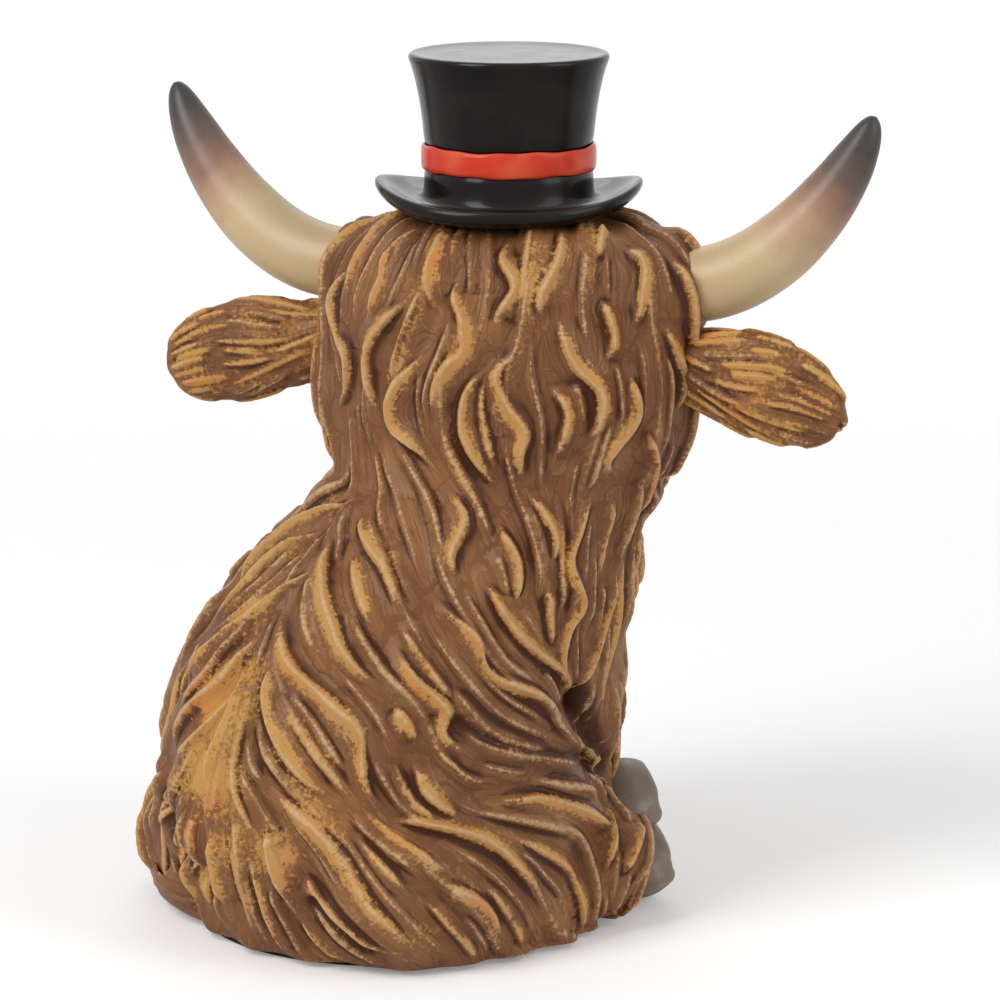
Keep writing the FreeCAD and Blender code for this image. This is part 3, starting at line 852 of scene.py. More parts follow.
# Creases pressed in: half width and depth in mm, then the run
creases = {
    "haunchPocket": (3.4, 5.4, (580, 700), (592, 732), (598, 758), (612, 772)),
    "haunchFold": (2.4, 1.4, (455, 722), (505, 748), (560, 760), (600, 760)),
    "napeLeft": (3.0, 2.2, (325, 462), (345, 482), (352, 500)),
    "napeRight": (2.6, 2.4, (672, 470), (655, 492), (640, 520)),
    "chestFold": (2.4, 2.2, (642, 540), (634, 600), (630, 660), (622, 720), (620, 760)),
    "tailFold": (2.5, 3.2, (166, 800), (172, 822), (180, 845), (196, 868), (214, 884)),
    "hemFold": (2.0, 2.2, (316, 902), (330, 918), (346, 933), (364, 948)),
}


# Broad brushings of gold: radius in mm and strength, then the place in the picture
brushings = {
    "shoulderHigh": (5.0, 0.5, (330, 505)),
    "shoulderLow": (6.0, 0.5, (288, 556)),
    "backHigh": (8.0, 0.8, (245, 620)),
    "backMiddle": (11.0, 1.0, (225, 700)),
    "backLow": (10.0, 1.0, (205, 770)),
    "backEdge": (7.0, 0.8, (178, 780)),
    "streakLeft": (5.0, 0.8, (222, 850)),
    "streakRight": (5.5, 0.8, (272, 855)),
    "hemMiddle": (6.0, 0.42, (430, 930)),
    "hemRight": (6.0, 0.42, (560, 900)),
    "cuff": (5.0, 0.4, (615, 840)),
    "napeRight": (5.0, 0.4, (640, 470)),
    "chest": (5.0, 0.4, (610, 620)),
}


def easedRun(pixels, step=5.0):
    # a smooth run through the pixels, cut into short steps
    pixels = [np.array(p, dtype=float) for p in pixels]
    ends = [2 * pixels[0] - pixels[1]] + pixels + [2 * pixels[-1] - pixels[-2]]
    run = []
    for a, b, c, d in zip(ends, ends[1:], ends[2:], ends[3:]):
        count = max(int(np.linalg.norm(c - b) / step), 1)
        for number in range(count):
            t = number / count
            run.append(0.5 * (2 * b + (c - a) * t + (2 * a - 5 * b + 4 * c - d) * t ** 2
                              + (3 * b - a - 3 * c + d) * t ** 3))
    run.append(pixels[-1])
    return run


def seenAt(shape, across, down):
    # the place on the surface that a pixel shows
    return shape.ray_cast(eyePoint, pixelRay(across, down))[0]


def throughPicture(shape, pixels):
    # the run of pixels laid on the surface, up to where it jumps to another fold
    run = []
    for across, down in easedRun(pixels):
        hit = seenAt(shape, across, down)
        if hit is None:
            continue
        if run and np.linalg.norm(np.array(hit) - run[-1]) > 5:
            break
        run.append(np.array(hit))
    return run


# The coat of body and head, in mm: the run of its waves, where the hair is flat, and how fine the mesh is
body = {
    "turnDeg": -23.0,
    "voxel": 0.54,
    "wave": 24.0,
    "swing": 0.42,
    "neck": 88.0,
    "neckCentre": np.array((headX, headY)),
    "drift": 1.6,
    "driftSpans": (14.0, 19.0),
    "spill": 0.9,
    "headSpill": 0.25,
    "crownTurn": 132.0,
    "crownFall": 0.3,
    "drawnReach": 4.5,
    "ruleShare": 0.08,
    "hemLevel": 3.0,
    "crownLevel": 138.2,
    "softRounds": 90,
    "softFade": (1.6, 5.0),
    "hemFade": (1.2, 3.0),
    "hatLevel": 137.0,
    "hatFade": (15.0, 4.0),
    "curlReach": 11.5,
    "mostTriangles": 190000,
}
# Behind the left haunch the hair starts higher: where that stretch begins and how wide its edge is
smoothHem = {"across": (2.0, 12.0), "back": (-12.0, 10.0), "level": (3.0, 8.0)}


# Swellings under the hair at the horn roots and before the hind feet: centre and radii in mm, and a turn
hairPads = {
    "rightHornRoot": ((-50.5, -7.0, 124.5), (10.0, 11.0, 12.5)),
    "leftHornRoot": ((10.5, -8.0, 125.0), (7.0, 10.0, 11.5)),
    "rightCuff": ((-41.5, -3.5, 13.0), (9.0, 11.0, 12.0), 25.0),
    "leftCuff": ((13.0, -36.0, 13.0), (10.0, 9.0, 12.0), 0.0),
}


class FurFlow:
    # the way that the hair runs: along the drawn locks near them, and by rule elsewhere
    def __init__(self, runs):
        middles, ways = [], []
        for run in runs:
            for a, b in zip(run, run[1:]):
                size = np.linalg.norm(b - a)
                if 0.2 < size < 6:
                    middles.append((a + b) / 2)
                    ways.append((b - a) / size)
        self.middles = np.array(middles)
        self.ways = np.array(ways)

    def rule(self, spot, normal):
        out = spot[:2] - body["neckCentre"]
        reach = np.linalg.norm(out)
        out = out / max(reach, 1e-6)
        spill = body["spill"] if spot[2] < body["neck"] else body["headSpill"]
        way = np.array((out[0] * spill, out[1] * spill, -1.0))
        if spot[2] > body["crownTurn"]:
            way = np.array((out[0], out[1], -body["crownFall"]))
        way = way - normal * np.dot(way, normal)
        way = way / max(np.linalg.norm(way), 1e-6)
        wide, deep = body["driftSpans"]
        drift = body["drift"] * math.sin(spot[0] / wide + spot[1] / deep)
        swing = body["swing"] * math.sin(6.283 * spot[2] / body["wave"] + drift)
        return waved(way, normal, swing)

    def __call__(self, spot, normal):
        gap = self.middles - spot
        weight = np.exp(-(gap * gap).sum(axis=1) / (2 * body["drawnReach"] ** 2))
        way = (self.ways * weight[:, None]).sum(axis=0)
        return way + body["ruleShare"] * self.rule(spot, normal)


# The drawn locks: their width beside the picture's, their height in mm, and the swell below each
drawn = {"widthShare": 1.3, "height": 1.9, "swellShare": 1.7, "swellHeight": 1.1}


def drawRidges(shape):
    # the drawn golden locks are ridges, and the brown ones only lead the hair between them
    ridges, runs = [], []
    for width, *pixels in goldLocks.values():
        run = throughPicture(shape, pixels)
        if len(run) > 3:
            ridges.append(Ridge(run, width * drawn["widthShare"], drawn["height"], 1.0))
            runs.append(run)
    runs += [run for run in (throughPicture(shape, pixels) for pixels in brownLocks.values()) if len(run) > 3]
    return ridges, runs


def carveCreases(skin, shape):
    carve = np.zeros(skin.count)
    for width, depth, *pixels in creases.values():
        for spot in throughPicture(shape, pixels):
            for _, index, far in skin.tree.find_range(spot, width * 2):
                carve[index] = max(carve[index], depth * math.exp(-((far / width) ** 2) * 1.6))
    return skin.spread(carve, 3)


def brushGold(skin, shape):
    gold = np.zeros(skin.count)
    for radius, strength, (across, down) in brushings.values():
        hit = seenAt(shape, across, down)
        if hit is not None:
            gold = np.maximum(gold, strength * np.exp(-((skin.away(hit) / radius) ** 2)))
    return gold


def roundEyes(skin):
    # a ring round each eye that has no hair, and the raised rim of its lids
    bare = np.ones(skin.count)
    rim = np.zeros(skin.count)
    for seat in eyeSeats:
        far = skin.away(seat)
        bare *= fade(far, *eye["bare"])
        rim += eye["rimHeight"] * np.exp(-((far - eye["rimRadius"]) / eye["rimWidth"]) ** 2)
    return bare, rim


def splitAtNeck(piece):
    # two closed pieces that meet at the neck's level
    other = piece.copy()
    other.data = piece.data.copy()
    bpy.context.scene.collection.objects.link(other)
    for part, above in ((piece, True), (other, False)):
        editMode(part)
        cut = {"plane_co": (0, 0, body["neck"] * mm), "plane_no": (0, 0, 1), "use_fill": True}
        bpy.ops.mesh.bisect(clear_inner=above, clear_outer=not above, **cut)
        deselect()
    return piece, other


def softened(skin, rounds):
    # the casting's own waves are worn down, but its hem stays
    worn = fade(skin.points[:, 2], *body["softFade"])[:, None]
    skin.points = skin.points * (1 - worn) + skin.spread(skin.points, rounds) * worn
    skin.write()


# Rounds of combing: the gap between locks, then their length, half width and height, all in mm
combs = {
    "swells": {
        "spacing": 8.5, "length": (40, 80), "width": (3.4, 4.8), "height": (1.4, 2.0),
        "golds": (0.0, 0.0, 0.5),
    },
    "locks": {
        "spacing": 6.0, "length": (26, 54), "width": (1.8, 2.8), "height": (1.3, 1.9),
        "goldShare": 0.7, "dull": 0.3,
    },
    "wisps": {
        "spacing": 3.1, "length": (18, 48), "width": (1.1, 2.1), "height": (0.8, 1.5),
        "golds": (0.0, 0.0, 0.4, 0.8),
    },
}


def goldFor(comb):
    # most locks are brushed with gold, and the others stay dull
    return random.uniform(0.8, 1.0) if random.random() < comb["goldShare"] else comb["dull"]


def lockFrom(path, comb, gold=None):
    width = random.uniform(*comb["width"])
    height = random.uniform(*comb["height"])
    return Ridge(path, width, height, random.choice(comb["golds"]) if gold is None else gold)


def combCoat(skin, flow, ridges):
    # broad swells under the drawn locks and between them, then locks and wisps in the gaps
    taken = Spots()
    for ridge in ridges:
        taken.add(ridge.path)

    def covered(spot):
        return body["hemLevel"] < spot[2] < body["crownLevel"]

    swells = []
    for ridge in ridges:
        width = ridge.width * drawn["swellShare"]
        swells.append(Ridge(ridge.path, width, drawn["swellHeight"], 0.0, ridge.side))
    for path in combRidges(skin, flow, covered, combs["swells"], Spots()):
        swells.append(lockFrom(path, combs["swells"]))
    for path in combRidges(skin, flow, covered, combs["locks"], taken):
        ridges.append(lockFrom(path, combs["locks"], goldFor(combs["locks"])))
    for path in combRidges(skin, flow, covered, combs["wisps"], taken):
        ridges.append(lockFrom(path, combs["wisps"], random.choice(combs["wisps"]["golds"])))
    print("stage: ridges", len(ridges))
    return swells


def pressCoat(skin, shape, ridges, swells):
    # the hair is flat at the hem, round the eyes and under the hat
    across, back, level = skin.points.T
    bare, rim = roundEyes(skin)
    under = skin.points[:, :2] - np.array(view["hatAxis"].xy)
    mask = fade(level, *body["hemFade"]) * bare
    mask *= np.where(level > body["hatLevel"], fade(np.linalg.norm(under, axis=1), *body["hatFade"]), 1)
    carve = carveCreases(skin, shape) * mask - rim
    behindLeft = fade(across, *smoothHem["across"]) * fade(back, *smoothHem["back"])
    mask *= 1 - behindLeft * (1 - fade(level, *smoothHem["level"]))
    pressFur(skin, ridges, carve, mask, swells, brushGold(skin, shape))


def makeFur():
    coat = closedSkin("headFur", body["voxel"], ("head_shell", "body_shell", "base_plug"), hairPads.values())
    softened(Skin(coat), body["softRounds"])
    skin = Skin(coat)
    print("stage: closed skin", skin.count, "points")
    faces = [tuple(p.vertices) for p in coat.data.polygons]
    shape = BVHTree.FromPolygons([tuple(p) for p in skin.points], faces)
    ridges, runs = drawRidges(shape)
    swells = combCoat(skin, FurFlow(runs), ridges)
    pressCoat(skin, shape, ridges, swells)
    head, trunk = splitAtNeck(coat)
    head.name = head.data.name = "headFur"
    trunk.name = trunk.data.name = "bodyFur"
    for piece, node in ((head, "head_shell"), (trunk, "body_shell")):
        count = sum(len(p.vertices) - 2 for p in piece.data.polygons)
        if count > body["mostTriangles"]:
            applyModifier(piece, "DECIMATE", ratio=body["mostTriangles"] / count)
        smooth(piece, 60)
        handOver(piece, fur, "painted_fur", node)


makeFur()
print("stage: fur")


# The fur of the small pieces: as in the rounds of combing, with the fineness of the mesh and the gold
smallFurs = {
    "ear": {
        "spacing": 1.7, "length": (10, 24), "width": (0.9, 1.7), "height": (0.5, 1.1),
        "voxel": 0.45, "goldShare": 0.85, "dull": 0.15, "brushed": 0.38,
    },
    "tail": {
        "spacing": 3.6, "length": (16, 34), "width": (1.6, 2.6), "height": (0.5, 1.0),
        "voxel": 0.5, "goldShare": 0.25, "dull": 0.15, "brushed": 0.0,
    },
    "forelock": {
        "spacing": 2.4, "length": (14, 26), "width": (1.3, 2.1), "height": (0.8, 1.4),
        "voxel": 0.4, "goldShare": 0.5, "dull": 0.15, "brushed": 0.0,
    },
}
# On them no lock starts below this level in mm, and their casting's waves are worn down by fewer rounds
smallFur = {"lowest": 2.0, "softRounds": 8}
# How the hair of an ear runs: out from the head, down below the one level and up above the other, in mm
ear = {"rootSide": 33.0, "droop": 0.25, "fallLevel": 108.0, "riseLevel": 112.0, "span": 12.0}


def furPiece(name, node, comb, flow):
    piece = closedSkin(name, comb["voxel"], (node,))
    softened(Skin(piece), smallFur["softRounds"])
    skin = Skin(piece)
    ridges = []
    for path in combRidges(skin, flow, lambda spot: spot[2] > smallFur["lowest"], comb, Spots()):
        ridges.append(lockFrom(path, comb, goldFor(comb)))
    mask = fade(skin.points[:, 2], *body["hemFade"])
    pressFur(skin, ridges, np.zeros(skin.count), mask, (), comb["brushed"])
    smooth(piece, 60)
    handOver(piece, fur, "painted_fur", node)


def earFlow(side):
    def flow(spot, normal):
        out = spot[0] * side - (headX * side) - ear["rootSide"]
        fall = 0.5 * max(0.0, (ear["fallLevel"] - spot[2]) / ear["span"])
        rise = 0.5 * max(0.0, (spot[2] - ear["riseLevel"]) / ear["span"])
        wave = 0.25 * math.sin(out / 4.5 + spot[2] / 5)
        return np.array((side, 0.1, -(ear["droop"] + fall - rise) + wave))
    return flow


def tailFlow(spot, normal):
    # round the middle that the tail curls about, towards its tip
    turn = math.radians(-body["turnDeg"])
    out = spot[:2] - body["curlReach"] * np.array((math.cos(turn), math.sin(turn)))
    out = out / max(np.linalg.norm(out), 1e-6)
    return np.array((out[1], -out[0], -0.15 + 0.35 * math.sin(spot[0] / 5)))


def forelockFlow(spot, normal):
    lean = (spot[0] - headX) / 40
    return np.array((lean * 0.4 + 0.3 * math.sin(spot[2] / 4 + spot[0] / 9), 0, -1.0))


for sideName, side in sides.items():
    furPiece(sideName + "EarFur", sideName + "_ear", smallFurs["ear"], earFlow(side))
furPiece("tailFur", "tail", smallFurs["tail"], tailFlow)
furPiece("forelockFur", "forelock", smallFurs["forelock"], forelockFlow)
print("stage: ears, tail, forelock")


horn = {
    "rootSide": 31.0,
    "rootLevel": 126.8,
    "rootForward": 2.0,
    "radius": 7.2,
    "reach": 41.2,
    "rise": 33.6,
    "sweep": 3.0,
    "startDeg": -8.0,
    "endDeg": 80.0,
    "startBend": 0.59,
    "endBend": 0.2,
    "points": 32,
    "rings": 22,
    "marks": 60,
}
# The share of the root's radius at shares of the length
hornRows = (
    (0.0, 1.0), (0.2, 1.0), (0.4, 0.94), (0.58, 0.8), (0.74, 0.62), (0.88, 0.4), (0.95, 0.26), (1.0, 0.1),
)


def hornLine(side):
    root = Vector((headX + side * horn["rootSide"], headY - horn["rootForward"], horn["rootLevel"]))
    tip = root + Vector((side * horn["reach"], -horn["sweep"], horn["rise"]))
    start, end = math.radians(horn["startDeg"]), math.radians(horn["endDeg"])
    leave = root + Vector((side * math.cos(start), 0, math.sin(start))) * (horn["reach"] * horn["startBend"])
    arrive = tip - Vector((side * math.cos(end), 0, math.sin(end))) * (horn["rise"] * horn["endBend"])
    return root, leave, arrive, tip


def onBend(bend, t):
    # a place on the horn's curved middle line, and the way that it runs there
    a, b, c, d = bend
    place = a * (1 - t) ** 3 + b * (3 * t * (1 - t) ** 2) + c * (3 * t ** 2 * (1 - t)) + d * t ** 3
    way = (b - a) * (3 * (1 - t) ** 2) + (c - b) * (6 * t * (1 - t)) + (d - c) * (3 * t ** 2)
    return place, way.normalized()


def shareAlong(marks, spot):
    # how far along the horn the nearest of its marks is
    return min(range(len(marks)), key=lambda number: (marks[number] - spot).length_squared) / horn["marks"]


def makeHorn(sideName, side):
    bend = hornLine(side)
    steps = [number / horn["rings"] for number in range(horn["rings"] + 1)]
    shares = np.interp(steps, *zip(*hornRows))
    place, way = onBend(bend, 0)
    deselect()
    tilt = math.atan2(way.x, way.z)
    bpy.ops.mesh.primitive_circle_add(
        vertices=horn["points"], radius=horn["radius"] * mm, fill_type="TRIFAN", location=place * mm,
        rotation=(0, tilt, 0),
    )
    piece = bpy.context.object
    piece.name = piece.data.name = sideName + "HornPaint"
    settle(piece)
    editMode(piece)
    for t, before, share in zip(steps[1:], shares, shares[1:]):
        nextPlace, nextWay = onBend(bend, t)
        bpy.ops.mesh.extrude_region_move(TRANSFORM_OT_translate={"value": (nextPlace - place) * mm})
        turn = math.atan2(nextWay.x, nextWay.z) - math.atan2(way.x, way.z)
        bpy.ops.transform.rotate(value=-turn, orient_axis="Y", center_override=nextPlace * mm)
        factor = share / before
        bpy.ops.transform.resize(value=(factor, factor, factor), center_override=nextPlace * mm)
        place, way = nextPlace, nextWay
    mergeDoubles(piece)
    rounded(piece)
    marks = [onBend(bend, number / horn["marks"])[0] for number in range(horn["marks"] + 1)]
    storeOn(piece, "along", [shareAlong(marks, vertex.co / mm) for vertex in piece.data.vertices])
    smooth(piece, 50)
    handOver(piece, hornTone, "painted_horn", sideName + "_horn")


for sideName, side in sides.items():
    makeHorn(sideName, side)
print("stage: horns")


hat = {
    "centre": Vector((hatX, headY, 138.5)),
    "turnDeg": 20.0,
    "points": 72,
    "waist": 16.3,
    "brimHalfWidth": 25.9,
    "brimHalfDepth": 24.0,
    "brimTop": 6.0,
    "curl": 3.9,
    "bandMiddle": 11.6,
    "wobble": 0.12,
    "fineWobble": 0.1,
}
# Radius and level of the rings in mm: brim from below, rolled edge, band's groove, crown and top
hatRows = (
    (14.0, 0.0), (19.0, 0.1), (22.5, 0.5), (24.6, 1.1),
    (25.6, 1.8), (25.9, 2.7), (25.7, 3.5), (25.0, 4.05), (24.0, 4.1),
    (22.0, 3.5), (19.5, 3.0), (17.6, 3.1), (16.7, 3.9), (16.4, 5.2), (16.3, 7.0),
    (16.3, 8.9), (15.7, 9.1), (15.7, 14.1), (16.3, 14.3),
    (16.5, 17.0), (16.9, 20.5), (17.5, 24.0), (18.2, 27.2), (18.9, 29.4), (19.25, 30.2),
    (19.3, 30.8), (19.0, 31.3), (18.4, 31.5), (17.4, 31.3), (16.0, 31.1), (8.0, 31.15),
)
bandRows = (
    (15.9, 9.15), (16.5, 9.15), (16.8, 9.5), (16.9, 10.4),
    (16.9, 12.8), (16.8, 13.7), (16.5, 14.1), (15.9, 14.1), (15.9, 9.15),
)
# How much a surface looks up, and how thick the film of gloss is there
filmByRise = ((-0.3, 0.0, 0.5, 0.9), (0.0, 0.07, 0.14, 0.45))


def curlBrim(spot):
    # the brim is a little wider than deep, and its sides curl up
    flat = spot - hat["centre"]
    turn = math.radians(hat["turnDeg"])
    forward = -flat.y * math.cos(turn) + flat.x * math.sin(turn)
    aside = -flat.x * math.cos(turn) - flat.y * math.sin(turn)
    radius = math.hypot(forward, aside)
    if radius < hat["waist"] + 0.4 or flat.z > hat["brimTop"]:
        return spot
    share = min((radius - hat["waist"]) / (hat["brimHalfWidth"] - hat["waist"]), 1.0)
    angle = math.atan2(aside, forward)
    deep = hat["brimHalfDepth"] / hat["brimHalfWidth"]
    squeeze = 1 + (math.hypot(math.cos(angle) * deep, math.sin(angle)) - 1) * share
    lift = hat["curl"] * math.sin(angle) ** 4 * share ** 1.6
    return hat["centre"] + Vector((flat.x * squeeze, flat.y * squeeze, flat.z + lift))


def waveBand(spot):
    # the hand-painted edges of the band run a little up and down
    flat = spot - hat["centre"]
    angle = math.atan2(flat.y, flat.x)
    high = 1 if flat.z > hat["bandMiddle"] else 0
    wobble = hat["wobble"] * math.sin(5 * angle + 1.2 + 2 * high)
    return spot + up * (wobble + hat["fineWobble"] * math.sin(13 * angle + 3 * high))


def makeHatPart(name, rows, shaping, paint, slot, node, closed=False):
    piece = growRings(name, hat["centre"], hat["points"], rows, closed)
    shapePoints(piece, shaping)
    rounded(piece)
    storeOn(piece, "film", [np.interp(vertex.normal.z, *filmByRise) for vertex in piece.data.vertices])
    smooth(piece, 50)
    handOver(piece, paint, slot, node)


makeHatPart("hatPaint", hatRows, curlBrim, blackGloss, "glossy_black", "top_hat")
makeHatPart("bandPaint", bandRows, waveBand, redGloss, "glossy_red", "hat_band", closed=True)
print("stage: hat")


def bodyPlace(forward, right, level, turn=0.0):
    # a place on the sitting body, as it is turned on its base
    turned = Matrix.Rotation(math.radians(body["turnDeg"] + turn), 3, "Z")
    return turned @ Vector((-right, -forward, 0)) + up * level


# Hooves: the root in the body's own places, and the sizes of the pair of claws, in mm
hoof = {
    "hindTurnDeg": 35.0,
    "hindTipDeg": 12.0,
    "gap": 0.25,
    "sunk": 1.5,
    "soleInset": 0.8,
    "soleLift": 0.5,
    "fore": {
        "forward": 35.6, "side": 11.5, "level": 11.0, "length": 10.6,
        "reach": 11.8, "halfWidth": 9.6, "round": 0.72, "taper": 1.0,
    },
    "hind": {
        "forward": 26.9, "side": 30.0, "level": 13.4, "length": 12.6,
        "reach": 9.2, "halfWidth": 13.0, "round": 0.95, "taper": 0.95,
    },
}
# Where a claw narrows, as shares of its size, and by how much: to the toe, to the leg and to the sole
toeSteps = ((0.1, 0.93), (0.45, 0.86), (0.75, 0.8))
legSteps = ((0.0, 0.95), (0.5, 0.9))
soleSteps = (-0.25, 0.05, 0.35, 0.65)


def shapeClaw(name, size, roundness, taper):
    # one claw: x points to its toe, y across the foot and z up to the leg
    deselect()
    bpy.ops.mesh.primitive_cube_add(size=2 * mm)
    claw = bpy.context.object
    claw.name = claw.data.name = name
    editMode(claw)
    bpy.ops.mesh.subdivide(number_cuts=5)
    bpy.ops.transform.tosphere(value=roundness)
    bpy.ops.transform.resize(value=size)
    for start, squeeze in toeSteps:
        pickFaces(claw, lambda face: face.calc_center_median().x > start * size[0] * mm)
        bpy.ops.transform.resize(value=(1, squeeze, 1), center_override=(0, 0, 0))
    for start, squeeze in legSteps:
        pickFaces(claw, lambda face: face.calc_center_median().z > start * size[2] * mm)
        bpy.ops.transform.resize(value=(squeeze, 0.97, 1), center_override=(-0.6 * size[0] * mm, 0, 0))
    for start in soleSteps:
        pickFaces(claw, lambda face: face.calc_center_median().z < -start * size[2] * mm)
        bpy.ops.transform.resize(value=(taper, 1, 1), center_override=(-0.7 * size[0] * mm, 0, 0))
    pickFaces(claw, lambda face: face.normal.z < -0.75)
    bpy.ops.transform.resize(value=(1, 1, 0.25), center_override=(0, 0, -0.86 * size[2] * mm))
    bpy.ops.mesh.inset(thickness=hoof["soleInset"] * mm)
    bpy.ops.transform.translate(value=(0, 0, hoof["soleLift"] * mm))
    deselect()
    rounded(claw, 2)
    return claw


def pickFaces(piece, wanted):
    # in edit mode, selects the faces that a rule wants
    bpy.ops.mesh.select_all(action="DESELECT")
    mesh = bmesh.from_edit_mesh(piece.data)
    for face in mesh.faces:
        if wanted(face):
            face.select_set(True)
    mesh.select_flush_mode()
    bmesh.update_edit_mesh(piece.data)


def makeHoof(sideName, side, foot):
    sizes = hoof[foot]
    root = bodyPlace(sizes["forward"], side * sizes["side"], sizes["level"])
    if foot == "fore":
        down = -up
        ahead = bodyPlace(1, 0, 0)
    else:
        tip = math.radians(hoof["hindTipDeg"])
        turn = -side * hoof["hindTurnDeg"]
        down = bodyPlace(math.cos(tip), 0, math.sin(tip), turn)
        ahead = bodyPlace(0, side, 0, turn)
    across = down.cross(ahead)
    axes = Matrix((ahead, across, -down)).transposed()
    claws = []
    for way in (-1, 1):
        breadth = sizes["halfWidth"] / 2 - hoof["gap"]
        size = (sizes["reach"] * 1.08, breadth * 1.1, sizes["length"] / 2 + hoof["sunk"])
        claw = shapeClaw(sideName + foot.title() + "Hoof", size, sizes["round"], sizes["taper"])
        middle = root + down * (sizes["length"] / 2 - hoof["sunk"]) + across * (way * sizes["halfWidth"] / 2)
        claw.matrix_world = Matrix.Translation(middle * mm) @ axes.to_4x4()
        settle(claw)
        claws.append(claw)
    piece = joinPieces(*claws)
    mergeDoubles(piece)
    smooth(piece, 60)
    handOver(piece, hoofGrey, "painted_hoof", sideName + "_" + foot + "_hoof")


for sideName, side in sides.items():
    for foot in ("fore", "hind"):
        makeHoof(sideName, -side, foot)
print("stage: hooves")


nose = {
    "seat": Vector((headX, headY - 32.0, 102.5)),
    "halfWidth": 15.5,
    "halfHeight": 13.0,
    "points": 64,
    "nostrilSide": 6.8,
    "nostrilRise": 3.0,
    "nostrilHalfWidth": 2.3,
    "nostrilHalfHeight": 1.6,
    "nostrilTilt": 0.45,
    "nostrilDepth": 2.8,
    "nostrilRim": 0.7,
    "mouthDrop": 4.6,
    "mouthCurve": 0.018,
    "mouthDepth": 1.5,
    "chinDepth": 1.6,
    "cleftDepth": 0.7,
}
# Radius and how far forward, in mm, from the root to the tip
noseRows = (
    (13.4, -2.5), (15.0, -1.0), (15.9, 1.0), (16.4, 3.0), (16.6, 5.0), (16.5, 7.0),
    (16.0, 9.0), (15.0, 10.8), (13.6, 12.2), (12.0, 13.2), (10.4, 13.7), (8.8, 14.0),
    (7.2, 14.2), (5.6, 14.3), (4.0, 14.4), (2.4, 14.45), (1.0, 14.5),
)


def shapeNose(spot):
    # nostrils, a cleft between them and a mouth that turns up at its ends
    flat = spot - nose["seat"]
    ahead, aside, rise = -flat.y, flat.x, flat.z
    mouth = -nose["mouthDrop"] + nose["mouthCurve"] * aside * aside
    front = between((ahead - 1.5) / 3.0)
    beside = abs(aside) - nose["nostrilSide"]
    across = beside / nose["nostrilHalfWidth"]
    along = (rise - nose["nostrilRise"] - nose["nostrilTilt"] * beside) / nose["nostrilHalfHeight"]
    hole = math.exp(-(across * across + along * along) ** 1.6)
    rim = nose["nostrilRim"] * math.exp(-((math.hypot(across, along) - 1.7) / 0.6) ** 2)
    lip = nose["mouthDepth"] * math.exp(-((rise - mouth) / 0.9) ** 2) * front
    chin = nose["chinDepth"] * between((mouth - rise) / 3.0) * front
    cleft = nose["cleftDepth"] * math.exp(-((aside / 0.9) ** 2)) * (1 if mouth < rise < 4 else 0)
    inward = (hole * nose["nostrilDepth"] - rim) * (1 if ahead > 6 else 0) + cleft
    out = Vector((aside / nose["halfWidth"], 0, rise / nose["halfHeight"]))
    return spot + Vector((0, 1, 0)) * (inward + (lip + chin) * 0.8) - out * ((lip + chin) * 0.5)


def makeNose():
    piece = growRings("nosePaint", Vector(), nose["points"], noseRows)
    piece.rotation_euler = (math.radians(90), 0, 0)
    piece.scale = (1, nose["halfHeight"] / nose["halfWidth"], 1)
    piece.location = nose["seat"] * mm
    settle(piece)
    rounded(piece)
    before = [vertex.co.y for vertex in piece.data.vertices]
    shapePoints(piece, shapeNose)
    after = [vertex.co.y for vertex in piece.data.vertices]
    storeOn(piece, "hollow", [between((new - old) / mm / 2.0) for new, old in zip(after, before)])
    smooth(piece, 60)
    handOver(piece, nosePaint, "painted_muzzle", "muzzle")


makeNose()
print("stage: nose")

# CAD pieces that keep their shape
kept = {
    "base_plug": rawResin,
    "felt_base": felt,
    "hat_peg": rawResin,
    "left_horn_pin": steel,
    "right_horn_pin": steel,
    "left_eye": eyeGloss,
    "right_eye": eyeGloss,
}
for node, material in kept.items():
    nodes[node].data.materials.clear()
    nodes[node].data.materials.append(material)


# Lamps in watts, and the floor's sizes and the lamps' aim in metres
studio = {
    "world": 0.5,
    "key": 9.0,
    "fill": 3.3,
    "front": 2.0,
    "floorReach": 0.6,
    "floorSolid": 0.16,
    "floorGlow": 0.2,
    "floorDrop": 0.0002,
    "aim": Vector((-0.01, 0, 0.08)),
}


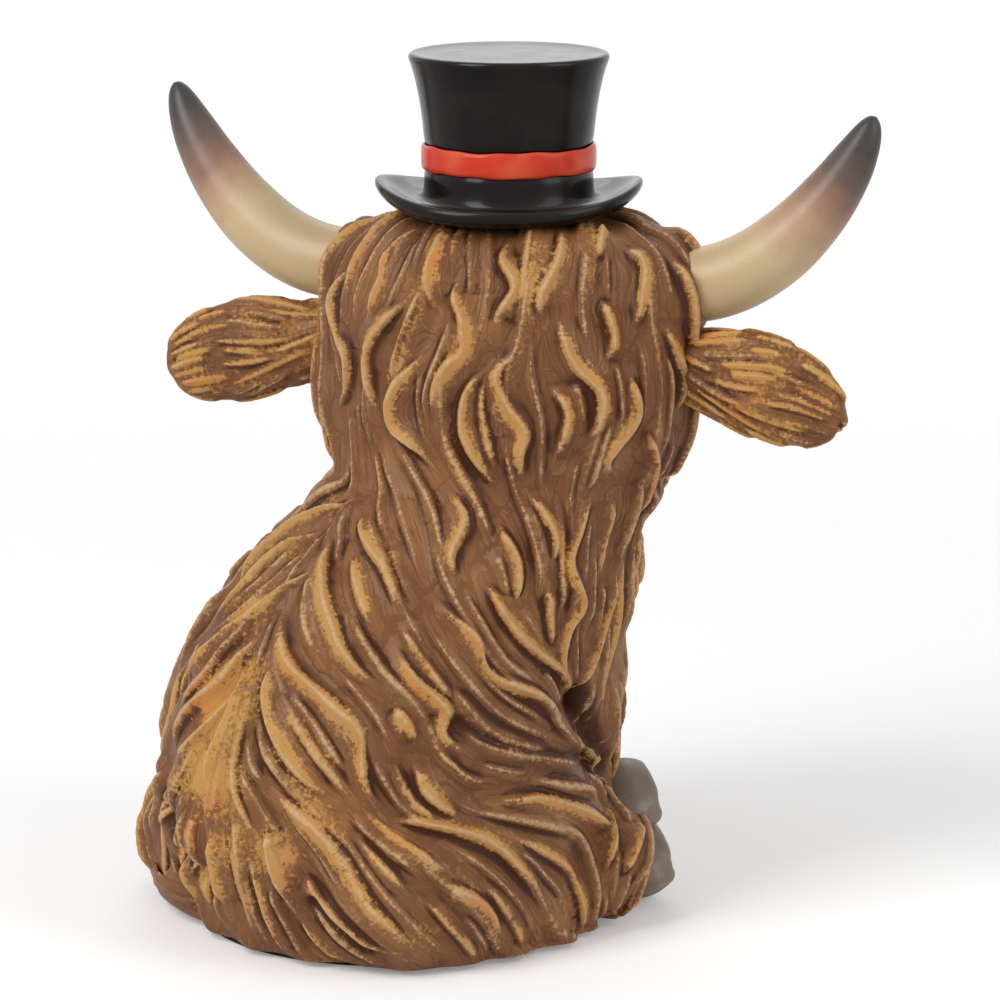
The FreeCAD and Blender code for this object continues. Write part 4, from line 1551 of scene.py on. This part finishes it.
def addFloor():
    # a white floor that fades out into the white behind it and keeps the shadow
    deselect()
    bpy.ops.mesh.primitive_plane_add(size=2 * studio["floorReach"], location=(0, 0, -studio["floorDrop"]))
    floor = bpy.context.object
    floor.name = "floor"
    paint = Paint("studioFloor", Base_Color=(0.93, 0.93, 0.93, 1), Roughness=0.9)
    paint.shader.inputs["Emission Strength"].default_value = studio["floorGlow"]
    across = paint.add("ShaderNodeVectorMath", {"operation": "LENGTH"}, {0: paint.place}, "Value")
    there = 1 - across.ramp(studio["floorSolid"], studio["floorReach"])
    glow = paint.mix(paint.ray("Camera"), (0, 0, 0, 1), (1, 1, 1, 1))
    floor.data.materials.append(paint.feed(Alpha=there, Emission_Color=glow))


def addLamp(name, place, size, power):
    lamp = bpy.data.objects.new(name, bpy.data.lights.new(name, "AREA"))
    bpy.context.scene.collection.objects.link(lamp)
    lamp.data.shape = "RECTANGLE"
    lamp.data.size, lamp.data.size_y = size
    lamp.data.energy = power
    lamp.location = place
    lamp.rotation_mode = "QUATERNION"
    lamp.rotation_quaternion = (studio["aim"] - lamp.location).to_track_quat("-Z", "Y")


def addWorld():
    # white for the camera and for what gloss and glass show, and a weaker white that lights the figure
    world = bpy.data.worlds.new("studio")
    bpy.context.scene.world = world
    world.use_nodes = True
    sky = NodeMaker(world.node_tree)
    sky.tree.nodes.clear()
    clear = sky.math("MAXIMUM", sky.ray("Glossy"), sky.ray("Transmission"))
    seen = sky.math("MAXIMUM", sky.ray("Camera"), clear)
    light = sky.add("ShaderNodeBackground", {}, {"Strength": studio["world"]})
    white = sky.add("ShaderNodeBackground", {}, {"Strength": 1.0, "Color": (1, 1, 1, 1)})
    shown = sky.add("ShaderNodeMixShader", {}, {0: seen, 1: light, 2: white})
    out = sky.tree.nodes.new("ShaderNodeOutputWorld")
    sky.tree.links.new(shown.socket, out.inputs[0])


addCamera()
addFloor()
left = towardCamera * 0.7 - imageRight * 0.8
right = towardCamera * 0.5 + imageRight * 0.95
addLamp("keyLamp", left * 0.9 + up * 0.85, (0.5, 0.9), studio["key"])
addLamp("fillLamp", right * 0.9 + up * 0.6, (0.5, 0.9), studio["fill"])
addLamp("frontLamp", towardCamera * -1.0 + up * 0.9, (0.9, 0.7), studio["front"])
addWorld()
bpy.context.scene.view_settings.view_transform = "Standard"
print("stage: studio")
